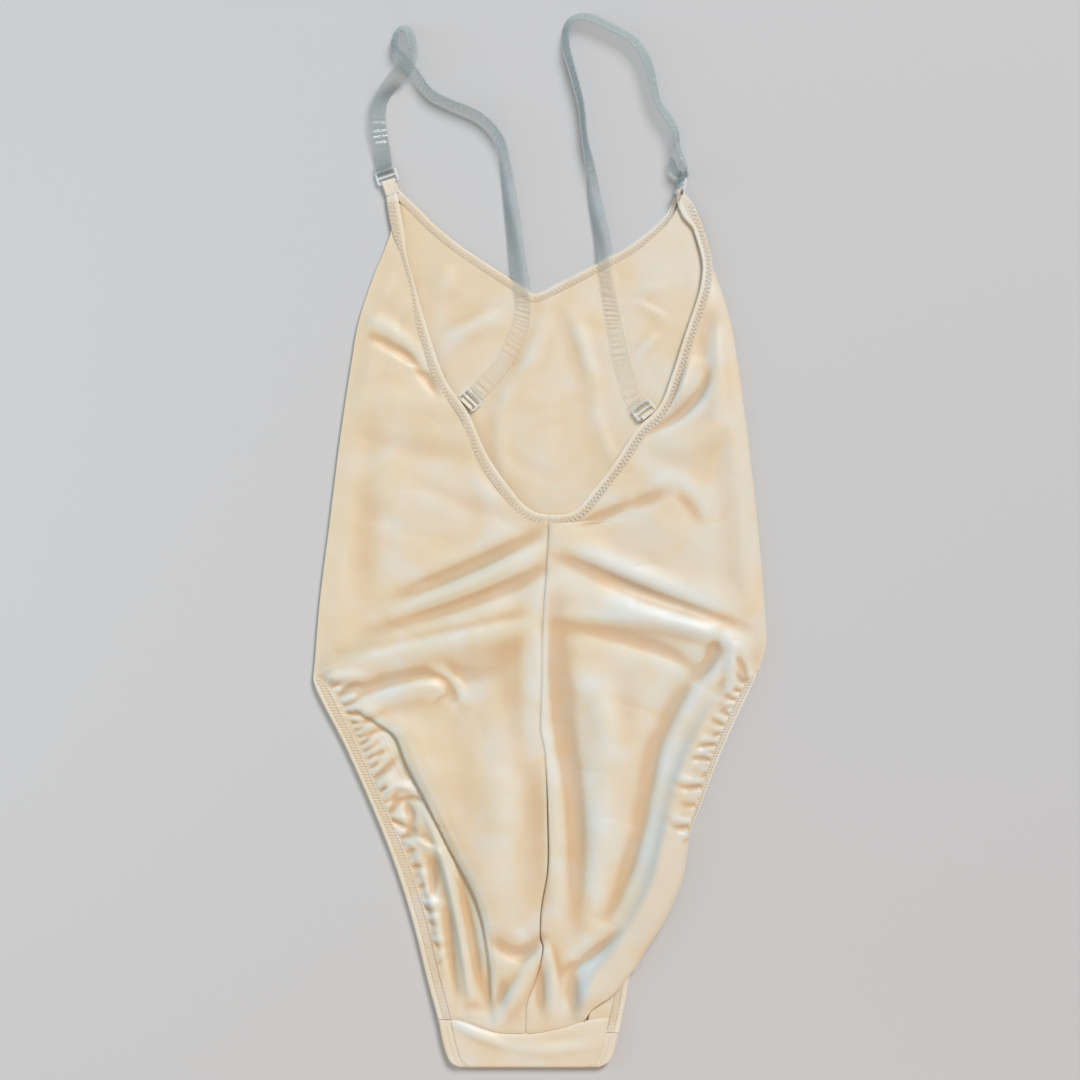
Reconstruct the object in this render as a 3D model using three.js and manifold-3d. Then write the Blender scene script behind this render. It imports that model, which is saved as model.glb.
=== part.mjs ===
// Camisole leotard of stretch knit, lying flat with its back up: a V-necked front, two backs with a low
// scoop between them, elastic edges, and clear straps held by clear sliders.
// Millimetres. +Y runs from the crotch to the straps, +X is to the right and +Z is up from the surface that
// the front lies on.
import * as THREE from 'three';
import { mergeVertices } from 'three/addons/utils/BufferGeometryUtils.js';
import Module from 'manifold-3d';

const wasm = await Module();
wasm.setup();

// Thicknesses and clearances
const CLOTH = 1.2;
const ELASTIC = 2.0;
const STRAP = 1.0;
const SEAM_GAP = 0.3;
const HALF_GAP = SEAM_GAP / 2;

// Widths of the sewn-on edges and straps
const NECK_BAND = 6.0;
const LEG_BAND = 9.5;
const STRAP_WIDTH = 12.0;
const TAB_WIDTH = 11.0;

// The front wraps round the crotch in a half turn of this outer radius, at the garment's lowest edge
const LOWEST = -369.6;
const WRAP = 2.7;
const WRAP_CENTRE = LOWEST + WRAP;

// Heights that the rows start from
const HIP = -92;
const NECK_CORNER = 237;
const FRONT_LEVEL = 60;
const PANEL_TOP = 210;
const BACK_LIFT = 4.2;
const SIDE_LIFT = CLOTH + SEAM_GAP;
const LEG_LIFT = 2.7;
const CROTCH_LIFT = 2 * WRAP - CLOTH;
const LEG_BAND_LIFT = ELASTIC + SEAM_GAP;

// Turns rows of numbers into records with the named columns
function table(names, ...rows) {
  const keys = names.split(' ');
  return rows.map((row) => Object.fromEntries(row.map((value, i) => [keys[i], value])));
}

// The garment's outline from above, down each side: its x at each y
const OUTLINE = {
  left: table('y x', [244, -108.9], [233.8, -106.8], [219.8, -104], [206, -107.9], [184.8, -116.6],
    [153.3, -127], [125.3, -132], [69.3, -140.4], [13.3, -147.4], [-42.7, -154.4], [-84.7, -157.9],
    [-98.7, -158.6], [-112.7, -153], [-140.7, -138.3], [-182.7, -119.4], [-224.7, -102.6],
    [-266.7, -89.3], [-308.7, -78.8], [-336.7, -71.1], [-350.7, -68.3], [-364.7, -63.4], [-369.6, -57]),
  right: table('y x', [244, 101.2], [233.8, 103.3], [219.8, 109.6], [206, 114], [184.8, 123.6],
    [153.3, 133.4], [125.3, 138.3], [69.3, 146], [13.3, 152.3], [-42.7, 157.2], [-70.7, 158.6],
    [-84.7, 155.8], [-98.7, 150.2], [-140.7, 130.6], [-182.7, 113.8], [-210.7, 104.7], [-238.7, 98.4],
    [-266.7, 86.5], [-294.7, 69], [-308.7, 63.4], [-336.7, 57], [-350.7, 53.6], [-364.7, 48.7],
    [-369.6, 42]),
};

// How far each back panel's leg edge lies inside the outline, and how high its wall starts there. On the
// right the panel bulges out over its leg band, down to a fold that runs back to the crotch seam.
const LEG_EDGE = {
  left: table('y inset lift', [-92, 0.1, 1.5], [-96, 3, 2.0], [-103, 9.5, LEG_LIFT], [-130, 9.8, LEG_LIFT],
    [-182, 9.5, LEG_LIFT], [-219, 11, LEG_LIFT], [-310, 11.3, 3.4], [-336, 11.4, CROTCH_LIFT]),
  right: table('y inset lift', [-92, 0.1, 1.5], [-96, 3, 2.0], [-103, 6.8, LEG_LIFT], [-165, 5.4, LEG_LIFT],
    [-188, 4.4, 4.8], [-196, 3.6, 4.9], [-222, 0.3, 4.9], [-294, 0.2, 4.9], [-300, 0.6, 4.9],
    [-307, 4.0, 4.9], [-315, 8.2, 4.9], [-321, 13.4, 4.8], [-326, 20.4, 4.6], [-330, 24.4, 4.4],
    [-336, 25.4, CROTCH_LIFT]),
};

// The right leg band's lie under that bulge: its outer edge inside the outline, and its width
const RIGHT_BAND = table('y inset width', [-92, 0, 0.1], [-96, 0, 2.7], [-103, 0, 6.5], [-165, 0, 5.1],
  [-188, 0, 4.1], [-205, 1.2, 5.5], [-225, 2.5, 9.5], [-300, 2.5, 10], [-320, 0.3, 10.4], [-345, 0, 10.5]);

// The neckline's upper edge
const NECKLINE = table('x y', [-101.5, 247.5], [-97.7, 244.3], [-86.5, 233.8], [-72.5, 219.8], [-55, 205.8],
  [-34, 191.8], [-13.7, 178.5], [-6.7, 173.6], [-1.8, 172.9], [8.8, 177.8], [40.3, 193.9], [62, 205.8],
  [80.2, 219.8], [87.2, 226.8], [91.4, 233.8], [94.6, 242]);

// The scoop's inner edge, from the left strap point round the low back to the right one, with the band's
// width and height. On the left the band stands nearly on its edge where it is narrow.
const SCOOP = table('x y width lift',
  [-101.5, 250, 8, 2.3], [-95.2, 217, 8.4, 2.3], [-93.5, 200.2, 4.2, 2.8],
  [-88.6, 182, 4.2, 3.2], [-81.2, 155.4, 7, 3.7], [-66.9, 113.8, 7.5, 3.8], [-50.9, 90, 7, 3.8],
  [-36.8, 59.5, 8, 3.8], [-21.2, 36.6, 8, 3.8], [-8.3, 22.3, 7.6, 3.8], [6, 17.7, 7.2, 3.8],
  [23.8, 20.2, 7.4, 3.8], [36.6, 34.4, 8, 3.8], [51.7, 53.8, 8.2, 3.8], [67.3, 77.3, 8.2, 3.8],
  [83.2, 93.2, 8, 3.8], [92.3, 115.6, 8, 3.8], [101, 142.5, 7.8, 3.8], [110.3, 170, 7.5, 3.6],
  [113.4, 185, 7.2, 3.2], [113.1, 198.1, 7, 2.8], [106.8, 219.1, 7, 2.4], [99.1, 237, 7, 2.3],
  [95.5, 246, 7, 2.3]);
const SCOOP_CENTRE_ROW = 10;

// The centre back seam, down to the crotch
const CENTRE_SEAM = table('y x',
  [17, 6], [-14.7, 4.6], [-56.7, 2], [-96.6, 1.5], [-133.7, 0.4], [-148.4, 3.2],
  [-194.6, 5], [-230.3, 5], [-257.6, 0.7], [-278.6, -0.1], [-285.6, 1.8], [-307.3, -2.7], [-323.1, -8.8],
  [-330.1, -9.9], [-347, -10.2]);

// The crotch seam, across from the left leg to the right
const CROTCH_SEAM = table('x y', [-75, -335], [-58, -336], [-31, -345], [-10, -345.8], [4, -344.4],
  [18, -341], [32, -336.7], [60, -333]);
const RIGHT_BAND_SEAM = -345;

// Largest folds of the backs: ridges and, with a minus height, troughs, each a smooth path of three points
const BACK_FOLDS = table('x0 y0 x1 y1 x2 y2 height width',
  [-3.9, -6, -46, -30, -89, -49.7, 2.2, 7],
  [6, -30, -48, -38, -60, -44, -1.2, 6],
  [-10.9, -60.2, -63.4, -70.7, -139, -88.2, 3.2, 9],
  [-66, -105.7, -82, -96, -123.6, -112.7, 2.6, 7],
  [-17, -70.7, -86, -92, -132, -102, -1.2, 7],
  [27, -10, 84, -26, 131, -46, 2.0, 9],
  [27, -19.6, 81, -37.8, 129, -56, -1.2, 6],
  [20.7, -61.6, 92.8, -77.7, 108.9, -91.7, -1.3, 7],
  [77.4, 79.1, 108, 80, 117.3, 107.8, 2.6, 6],
  [23, -70, 44, -165, 36, -270, -1.5, 8],
  [8, -140, 17, -200, 16, -262, 1.4, 7],
  [30, -110, 60, -190, 50, -270, 2.0, 10],
  [122.8, -90, 90, -146, 70, -240, -1.2, 6],
  [-26, -120, -16, -200, -22, -300, 2.0, 16],
  [-66, -230, -52, -290, -32, -318, 1.6, 8]);

// Long edges where the back billows up: the edge's path, and the height of the step. The left one falls away
// again towards the middle of the back, and the right one stays up to the leg.
const BILLOWS = {
  left: table('y x height', [-112, -134, 0], [-122.5, -128.5, 2], [-137.9, -100.5, 4.5], [-156.8, -93.5, 5],
    [-183.4, -79.5, 5], [-211.4, -65.5, 5], [-238, -52.9, 4.5], [-265.3, -41.7, 3.8], [-284.9, -38.9, 2.6],
    [-316, -41, 0]),
  right: table('y x height', [-100, 136, 0], [-116, 116, 2.5], [-144, 101, 4], [-165, 91.5, 4.5],
    [-191, 85, 4.5], [-214, 79.5, 4.5], [-240, 73, 4.3], [-268, 60, 4], [-288, 48, 3.5], [-309, 33, 2.5],
    [-330, 26, 1], [-337, 25, 0]),
};

// Gathers along each leg edge: they start and end at these heights, one to every two rows
const GATHER = {
  left: { from: -104, to: -300, height: 2.0 },
  right: { from: -100, to: -216, height: 1.7 },
};

// Low folds of the front's inner face, which shows inside the scoop
const FRONT_FOLDS = table('x0 y0 x1 y1 x2 y2 height width',
  [-18.6, 172, -50, 150, -70, 140, 0.9, 7],
  [13.7, 160, 34, 110, 39.6, 43, 1.2, 6],
  [7.4, 160, -20, 110, -15, 40, 0.8, 10]);

// Clear sliders: outer width, length and thickness, bar widths, and the play round a strap
const SLIDER = { width: 15.6, length: 10, thick: 1.6, side: 1.5, end: 1.2, middle: 1.4 };
const LOOP_PLAY = 0.25;
const END_BAR = SLIDER.length / 2 - SLIDER.end / 2;

// Each slider's centre, the heading of its strap in degrees from +X, and its tilt about that heading
const SLIDERS = {
  front_left: { x: -107.4, y: 254.9, z: 2.25, heading: 108, tilt: 0 },
  front_right: { x: 98.9, y: 248.2, z: 7.9, heading: 78, tilt: 74 },
  back_left: { x: -48.9, y: 98.3, z: 3.7, heading: 46, tilt: 0 },
  back_right: { x: 72.8, y: 91.1, z: 3.8, heading: 128, tilt: 0 },
};

// Each strap's centre line, from the back slider to the front one, and its roll: 0 is flat, 90 on edge.
// It lies on the front's inner face, over the neck band, and then on the ground.
const STRAP_PATHS = {
  left: table('x y z roll', [-38.2, 109.6, 2.3, 0], [-26, 123.9, 2.6, 0], [-14.5, 146.3, 2.9, 4],
    [-11, 163, 3.5, 10], [-12.3, 175.7, 4.5, 14], [-15, 191.8, 3.8, 16], [-17.2, 209.3, 3.2, 22],
    [-20.7, 237.3, 4.2, 36], [-24.2, 261.8, 5.1, 50], [-28.5, 281, 5.7, 60], [-41.7, 295.7, 5.8, 63],
    [-63.2, 305.5, 5.9, 66], [-76, 312.5, 5.9, 66], [-86.4, 324.7, 5.3, 55], [-91.3, 329.6, 4.6, 45],
    [-96.6, 335.9, 5.2, 50], [-100.7, 343.4, 6.0, 64], [-101.4, 350.6, 6.2, 68], [-98.6, 356.8, 6.2, 66],
    [-94.2, 357.6, 6.4, 62], [-90.6, 353, 7.0, 62], [-89.2, 344, 9.0, 60], [-90.6, 335.5, 12.0, 45],
    [-95.2, 328.6, 12.8, 35], [-102.3, 321.2, 9.4, 42], [-108.2, 314, 5.4, 44], [-112.3, 306, 4.1, 35],
    [-113.6, 297, 3.5, 27], [-113.2, 288.1, 3.1, 22], [-111.4, 277.4, 2.4, 15], [-110.2, 267, 1.2, 5]),
  right: table('x y z roll', [64.4, 102.3, 2.2, 0], [60, 116, 2.3, 3], [55.6, 135, 2.5, 5],
    [51.5, 157, 2.8, 8], [48.4, 181.3, 4.6, 14], [46.2, 196, 5.2, 18], [43.6, 212, 3.8, 24],
    [38.5, 238, 4.9, 42], [36.7, 252.3, 5.4, 55], [34.8, 265.7, 5.9, 66], [31.8, 280.9, 6.2, 75],
    [29, 305.9, 6.2, 74], [22, 332.7, 6.2, 73], [19.1, 343.4, 6.1, 70], [18.2, 354.1, 6.0, 68],
    [19.8, 361.2, 6.0, 67], [24.2, 365.2, 5.9, 63], [32.3, 366.2, 5.6, 56], [41.2, 363, 5.5, 53],
    [60.8, 353.2, 5.6, 56], [68, 346.9, 5.6, 56], [73.3, 338.9, 5.6, 56], [76.9, 329.1, 5.7, 58],
    [81.8, 308.6, 5.9, 63], [86.7, 299.6, 5.8, 60], [91.6, 292.9, 5.8, 61], [95, 285.4, 6.0, 68],
    [95.9, 276.4, 6.2, 70], [98.8, 268.6, 6.6, 72], [102, 260.6, 7.3, 74]),
};
// The right strap's free end, back from its loop through the slider
const TAIL_PATH = table('x y z roll', [96.2, 259.4, 7.8, 74], [93.4, 265.5, 7.0, 72]);

const { clamp, degToRad, smoothstep } = THREE.MathUtils;

// Reads a table at any value of its first column, on a smooth curve through its rows
function reader(rows) {
  const key = Object.keys(rows[0])[0];
  const way = Math.sign(rows[rows.length - 1][key] - rows[0][key]);
  const slope = (i, name) => {
    const before = rows[Math.max(i - 1, 0)];
    const after = rows[Math.min(i + 1, rows.length - 1)];
    return (after[name] - before[name]) / (after[key] - before[key]);
  };
  return (value, name) => {
    let i = 0;
    while (i < rows.length - 2 && way * (value - rows[i + 1][key]) > 0) i += 1;
    const span = rows[i + 1][key] - rows[i][key];
    const t = clamp((value - rows[i][key]) / span, 0, 1);
    const [a, b] = [rows[i][name], rows[i + 1][name]];
    const [pull, push] = [slope(i, name) * span, slope(i + 1, name) * span];
    const bend = 3 * (b - a) - 2 * pull - push;
    return a + t * pull + t * t * bend + t * t * t * (2 * (a - b) + pull + push);
  };
}

const outline = { left: reader(OUTLINE.left), right: reader(OUTLINE.right) };
const legEdge = { left: reader(LEG_EDGE.left), right: reader(LEG_EDGE.right) };
const billow = { left: reader(BILLOWS.left), right: reader(BILLOWS.right) };
const rightBand = reader(RIGHT_BAND);
const centreSeam = reader(CENTRE_SEAM);
const crotchSeam = reader(CROTCH_SEAM);
const sideX = (side, y) => outline[side](y, 'x');
const inward = (side) => (side === 'left' ? 1 : -1);

// Height that a list of folds adds at a point: each is a soft ridge along a curve, fading at its ends
const FOLD_STEPS = 14;
function foldHeight(folds, x, y) {
  let height = 0;
  for (const f of folds) {
    let near = Infinity;
    let along = 0;
    for (let i = 0; i <= FOLD_STEPS; i += 1) {
      const t = i / FOLD_STEPS;
      const [a, b, c] = [(1 - t) ** 2, 2 * t * (1 - t), t * t];
      const gapX = a * f.x0 + b * f.x1 + c * f.x2 - x;
      const gapY = a * f.y0 + b * f.y1 + c * f.y2 - y;
      const gap = Math.hypot(gapX, gapY);
      if (gap < near) {
        near = gap;
        along = t;
      }
    }
    const fade = Math.sqrt(Math.sin(Math.PI * clamp(along, 0.04, 0.96)));
    height += f.height * fade * Math.exp(-((near / f.width) ** 2));
  }
  return height;
}

// Height of the billow on the higher side of its edge
const BILLOW = { left: { rise: 7, reach: 46 }, right: { rise: 11, reach: 400 } };
function billowHeight(side, x, y) {
  const rows = BILLOWS[side];
  if (y > rows[0].y || y < rows[rows.length - 1].y) return 0;
  const { rise, reach } = BILLOW[side];
  const beyond = x - billow[side](y, 'x');
  const step = smoothstep(beyond, -rise / 2, rise / 2);
  return billow[side](y, 'height') * step * Math.exp(-Math.max(beyond, 0) / reach);
}

// A closed mesh from points and triangles, with its faces pointing out
function solid(points, triangles) {
  const geometry = new THREE.BufferGeometry();
  geometry.setAttribute('position', new THREE.Float32BufferAttribute(points.flat(), 3));
  const volume = triangles.reduce((sum, [a, b, c]) => {
    const [p, q, r] = [a, b, c].map((i) => new THREE.Vector3(...points[i]));
    return sum + p.dot(q.cross(r));
  }, 0);
  const outward = volume > 0 ? triangles : triangles.map(([a, b, c]) => [a, c, b]);
  geometry.setIndex(outward.flat());
  return geometry;
}

// A wall between an upper and a lower grid of points, both with the same rows and columns
function wall(upper, lower) {
  const [rows, columns] = [upper.length, upper[0].length];
  const under = rows * columns;
  const at = (row, column) => row * columns + column;
  const triangles = [];
  for (let i = 0; i < rows - 1; i += 1) {
    for (let j = 0; j < columns - 1; j += 1) {
      const [a, b, c, d] = [at(i, j), at(i, j + 1), at(i + 1, j), at(i + 1, j + 1)];
      triangles.push([a, c, b], [b, c, d]);
      triangles.push([a + under, b + under, c + under], [b + under, d + under, c + under]);
    }
  }
  const rim = [];
  for (let i = 0; i < rows - 1; i += 1) rim.push(at(i, 0));
  for (let j = 0; j < columns - 1; j += 1) rim.push(at(rows - 1, j));
  for (let i = rows - 1; i > 0; i -= 1) rim.push(at(i, columns - 1));
  for (let j = columns - 1; j > 0; j -= 1) rim.push(at(0, j));
  rim.forEach((a, i) => {
    const b = rim[(i + 1) % rim.length];
    triangles.push([a, a + under, b], [b, a + under, b + under]);
  });
  return solid([...upper.flat(), ...lower.flat()], triangles);
}

// Samples from one value to another, ends included
function samples(count, from, to) {
  return Array.from({ length: count + 1 }, (_, i) => from + ((to - from) * i) / count);
}

// The scoop's edges at even steps from the strap point to the centre back
const scoopLine = new THREE.SplineCurve(SCOOP.map((row) => new THREE.Vector2(row.x, row.y)));
const centreT = SCOOP_CENTRE_ROW / (SCOOP.length - 1);
const SCOOP_SEGMENTS = 27;
function scoopEdges(side) {
  const ends = side === 'left' ? [0, centreT] : [1, centreT];
  const fine = samples(200, ...ends).map((t) => scoopLine.getPoint(t));
  const reach = [0];
  for (let i = 1; i < fine.length; i += 1) reach.push(reach[i - 1] + fine[i].distanceTo(fine[i - 1]));
  return samples(SCOOP_SEGMENTS, 0, reach[reach.length - 1]).map((length) => {
    const i = clamp(reach.findIndex((r) => r >= length - 1e-6), 1, fine.length - 1);
    const part = (length - reach[i - 1]) / (reach[i] - reach[i - 1]);
    const t = ends[0] + ((ends[1] - ends[0]) * (i - 1 + part)) / 200;
    const inner = scoopLine.getPoint(t);
    const way = scoopLine.getTangent(t);
    const row = Math.min(Math.floor(t * (SCOOP.length - 1)), SCOOP.length - 2);
    const mix = t * (SCOOP.length - 1) - row;
    const between = (name) => SCOOP[row][name] * (1 - mix) + SCOOP[row + 1][name] * mix;
    const out = (distance) => [inner.x + way.y * distance, inner.y - way.x * distance];
    const width = between('width');
    return { inner: out(0), outer: out(width), panel: out(width + SEAM_GAP), lift: between('lift') };
  });
}

// The two bands meet at the centre back with a seam gap between them
function scoopBand(side) {
  const edges = scoopEdges(side);
  const last = edges[edges.length - 1];
  const gap = side === 'left' ? -HALF_GAP : HALF_GAP;
  last.inner = [last.inner[0] + gap, last.inner[1]];
  last.outer = [last.outer[0] + gap, last.outer[1]];
  const level = (raise) => edges.map((e) => [[...e.outer, e.lift + raise], [...e.inner, e.lift + raise]]);
  return wall(level(ELASTIC), level(0));
}

// A back panel's rows: each runs from the outline or leg edge, across to the scoop or the centre seam
const LEG_ROWS = 52;
const HIP_ROWS = 9;
const CROTCH_CORNER = { left: -60.6, right: 31.6 };
function legLevels(side) {
  return samples(LEG_ROWS, HIP, crotchSeam(CROTCH_CORNER[side], 'y') + HALF_GAP).slice(1);
}
function backRows(side) {
  const rows = [];
  const plain = { outerLift: SIDE_LIFT, innerLift: BACK_LIFT, gather: 0, seam: 0 };
  for (const edge of scoopEdges(side)) {
    const [x, y] = edge.panel;
    if (y <= PANEL_TOP) {
      rows.push({ ...plain, outer: [sideX(side, y), y], inner: [x, y], innerLift: edge.lift + 0.4 });
    }
  }
  const gap = side === 'left' ? -HALF_GAP : HALF_GAP;
  const start = rows[rows.length - 1];
  start.inner = [centreSeam(start.inner[1], 'x') + gap, start.inner[1]];
  for (const y of samples(HIP_ROWS, start.inner[1], HIP).slice(1)) {
    rows.push({ ...plain, outer: [sideX(side, y), y], inner: [centreSeam(y, 'x') + gap, y] });
  }
  const innerEnd = crotchSeam(-10.2, 'y') + HALF_GAP;
  const gathers = GATHER[side];
  const levels = legLevels(side);
  levels.forEach((y, i) => {
    const t = (HIP - y) / (HIP - levels[levels.length - 1]);
    const innerY = HIP + (innerEnd - HIP) * t;
    const inset = legEdge[side](y, 'inset') + SEAM_GAP;
    const fade = smoothstep(gathers.from - y, 0, 14) * smoothstep(y - gathers.to, 0, 40);
    const uneven = 0.72 + 0.28 * Math.sin(2.3 * i + (side === 'left' ? 0 : 1.4));
    rows.push({
      outer: [sideX(side, y) + inward(side) * inset, y],
      inner: [centreSeam(innerY, 'x') + gap, innerY],
      outerLift: legEdge[side](y, 'lift'),
      innerLift: BACK_LIFT,
      gather: (i % 2) * gathers.height * fade * uneven,
      seam: smoothstep(t, 0.9, 1),
    });
  });
  return rows;
}

// Columns of a back panel, closer together at the leg edge, where it is gathered
const BACK_COLUMNS = [0, 0.045, 0.11, 0.19, 0.28, 0.37, 0.47, 0.58, 0.7, 0.84, 1];
function backPanel(side) {
  const rows = backRows(side);
  const last = rows[rows.length - 1];
  const seamSag = (u) => {
    const [x, y] = [0, 1].map((i) => last.outer[i] + (last.inner[i] - last.outer[i]) * u);
    return crotchSeam(x, 'y') + HALF_GAP - y;
  };
  const points = rows.map((row) => BACK_COLUMNS.map((u) => {
    const x = row.outer[0] + (row.inner[0] - row.outer[0]) * u;
    let y = row.outer[1] + (row.inner[1] - row.outer[1]) * u;
    y += row.seam * seamSag(u);
    const width = Math.abs(row.inner[0] - row.outer[0]);
    const rise = smoothstep(u * width, 0, row.outerLift > row.innerLift ? 34 : 14);
    const inside = smoothstep(u, 0, 0.11) * (1 - 0.6 * smoothstep(u, 0.8, 1));
    const still = 1 - row.seam;
    const folds = foldHeight(BACK_FOLDS, x, y) + billowHeight(side, x, y);
    const gather = row.gather * smoothstep(u, 0, 0.045) * (1 - smoothstep(u, 0.11, 0.34));
    const lift = row.outerLift + (row.innerLift - row.outerLift) * rise;
    return [x, y, lift + (folds * inside + gather) * still];
  }));
  // the seam edge is level across both backs
  for (const row of points) {
    const end = row[row.length - 1];
    if (end[1] < 9) {
      const folds = foldHeight(BACK_FOLDS, centreSeam(end[1], 'x'), end[1]);
      end[2] = BACK_LIFT + 0.9 * folds * smoothstep(end[1], -347, -320);
    }
  }
  return wall(points.map((row) => row.map(([x, y, z]) => [x, y, z + CLOTH])), points);
}

// Leg band on a back panel: between the outline and the panel's edge
function legBandBack(side) {
  const end = side === 'left' ? -335.7 : RIGHT_BAND_SEAM + HALF_GAP;
  const climbLength = side === 'left' ? 35 : 9;
  const rows = legLevels(side).filter((y) => y > end + 1).concat(end).map((y) => {
    const inset = side === 'left' ? 0 : rightBand(y, 'inset');
    const width = side === 'left' ? legEdge.left(y, 'inset') : rightBand(y, 'width');
    const outer = sideX(side, y) + inward(side) * inset;
    const climb = smoothstep(end + climbLength - y, 0, climbLength);
    const lift = LEG_BAND_LIFT + (2 * WRAP - ELASTIC - LEG_BAND_LIFT) * climb;
    return { y, outer, inner: outer + inward(side) * width, lift };
  });
  const level = (raise) => rows.map((r) => [[r.outer, r.y, r.lift + raise], [r.inner, r.y, r.lift + raise]]);
  return wall(level(ELASTIC), level(0));
}

// Rows of the front along its own length: flat from the hips to the crotch, then half a turn round the wrap,
// and back up over itself to the crotch seam. Each gives y, height and the direction out of the cloth.
const WRAP_STEPS = 8;
const LEG_START = [HIP - 1.5, -96, -99.5, -103];
const FLAP_LEVELS = [WRAP_CENTRE, -364, -360, -352, RIGHT_BAND_SEAM - HALF_GAP];
function flatRows() {
  return [...LEG_START, ...samples(13, -112, WRAP_CENTRE)].map((y) => ({ y, angle: 0 }));
}
function arcRows() {
  return samples(WRAP_STEPS, 0, Math.PI).slice(1).map((angle) => ({ y: WRAP_CENTRE, angle }));
}
function flapRows(end) {
  return [...FLAP_LEVELS.slice(1).filter((y) => y < end - 1), end].map((y) => ({ y, angle: Math.PI }));
}
// A point of the wrap, a depth inside its outer face
function wrapped(x, row, depth) {
  return [x, row.y - (WRAP - depth) * Math.sin(row.angle), WRAP - (WRAP - depth) * Math.cos(row.angle)];
}

const FLAP_END = -336.15;

// The front's leg edges lie just inside the backs' where the backs cover them
const UNDER = 0.8;
function frontOuter(side, row) {
  const y = row.y - WRAP * Math.sin(row.angle);
  const cover = UNDER * (1 + Math.cos(row.angle)) / 2;
  return sideX(side, y) + inward(side) * cover * smoothstep(HIP - row.y, 0, 10);
}
const FRONT_BAND = table('y width', [-92, 0.1], [-96, 2.8], [-103, LEG_BAND], [-182, LEG_BAND],
  [-260, 10.4], [-370, 10.4]);
const frontBand = reader(FRONT_BAND);
function frontBandWidth(row) {
  return frontBand(row.y, 'width');
}
function legBandFront(side) {
  const end = side === 'left' ? FLAP_END : RIGHT_BAND_SEAM - HALF_GAP;
  const rows = [...flatRows(), ...arcRows(), ...flapRows(end)];
  const level = (depth) => rows.map((row) => {
    const outer = frontOuter(side, row);
    return [wrapped(outer, row, depth), wrapped(outer + inward(side) * frontBandWidth(row), row, depth)];
  });
  return wall(level(0), level(ELASTIC));
}

// The front: its top follows the neck band, its middle lies flat, and its lower end wraps round the crotch
const neckLine = new THREE.SplineCurve(NECKLINE.map((row) => new THREE.Vector2(row.x, row.y)));
const NECK_SEGMENTS = 24;
function neckEdges() {
  return samples(NECK_SEGMENTS, 0, 1).map((u) => {
    const upper = neckLine.getPointAt(u);
    const way = neckLine.getTangentAt(u);
    const out = (distance) => [upper.x + way.y * distance, upper.y - way.x * distance];
    return { upper: out(0), lower: out(NECK_BAND), panel: out(NECK_BAND + SEAM_GAP) };
  });
}
function neckBand() {
  const edges = neckEdges();
  const level = (z) => edges.map((e) => [[...e.upper, z], [...e.lower, z]]);
  return wall(level(ELASTIC), level(0));
}

function frontPanel() {
  const neck = neckEdges().map((e) => e.panel).filter(([, y]) => y < NECK_CORNER);
  const shoulder = NECK_CORNER - 1;
  const top = [[sideX('left', shoulder), shoulder], ...neck, [sideX('right', shoulder), shoulder]];
  const columns = top.length;
  const u = (j) => j / (columns - 1);
  const across = (y, j) => sideX('left', y) + (sideX('right', y) - sideX('left', y)) * u(j);
  const upper = [];
  const lower = [];
  const add = (flat) => {
    lower.push(flat.map(([x, y, z]) => [x, y, z]));
    upper.push(flat.map(([x, y, z]) => [x, y, z + CLOTH]));
  };
  const inScoop = (y) => smoothstep(y, 20, 45) * (1 - smoothstep(y, 165, 176));
  for (const t of samples(10, 0, 1)) {
    add(top.map(([tx, ty], j) => {
      const edgeY = shoulder + (FRONT_LEVEL - shoulder) * t;
      const x = (1 - t) * (tx - across(shoulder, j)) + across(edgeY, j);
      const y = (1 - t) * ty + t * FRONT_LEVEL;
      return [x, y, foldHeight(FRONT_FOLDS, x, y) * inScoop(y) * smoothstep(t, 0, 0.15)];
    }));
  }
  for (const y of samples(7, FRONT_LEVEL, HIP).slice(1)) {
    add(top.map((_, j) => [across(y, j), y, foldHeight(FRONT_FOLDS, across(y, j), y) * inScoop(y)]));
  }
  const seamRoom = (row) => SEAM_GAP * (1 + smoothstep(-row.y, 350, 362));
  const edges = (row) => ['left', 'right'].map((side) => (
    frontOuter(side, row) + inward(side) * (frontBandWidth(row) + seamRoom(row))));
  const between = (row) => {
    const [from, to] = edges(row);
    return top.map((_, j) => from + (to - from) * u(j));
  };
  for (const row of [...flatRows(), ...arcRows()]) {
    lower.push(between(row).map((x) => wrapped(x, row, 0)));
    upper.push(between(row).map((x) => wrapped(x, row, CLOTH)));
  }
  for (const row of flapRows(FLAP_END)) {
    const t = (row.y - WRAP_CENTRE) / (FLAP_END - WRAP_CENTRE);
    const place = (x) => ({ y: row.y + t * t * (crotchSeam(x, 'y') - HALF_GAP - FLAP_END), angle: Math.PI });
    lower.push(between(row).map((x) => wrapped(x, place(x), 0)));
    upper.push(between(row).map((x) => wrapped(x, place(x), CLOTH)));
  }
  return wall(upper, lower);
}

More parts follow.
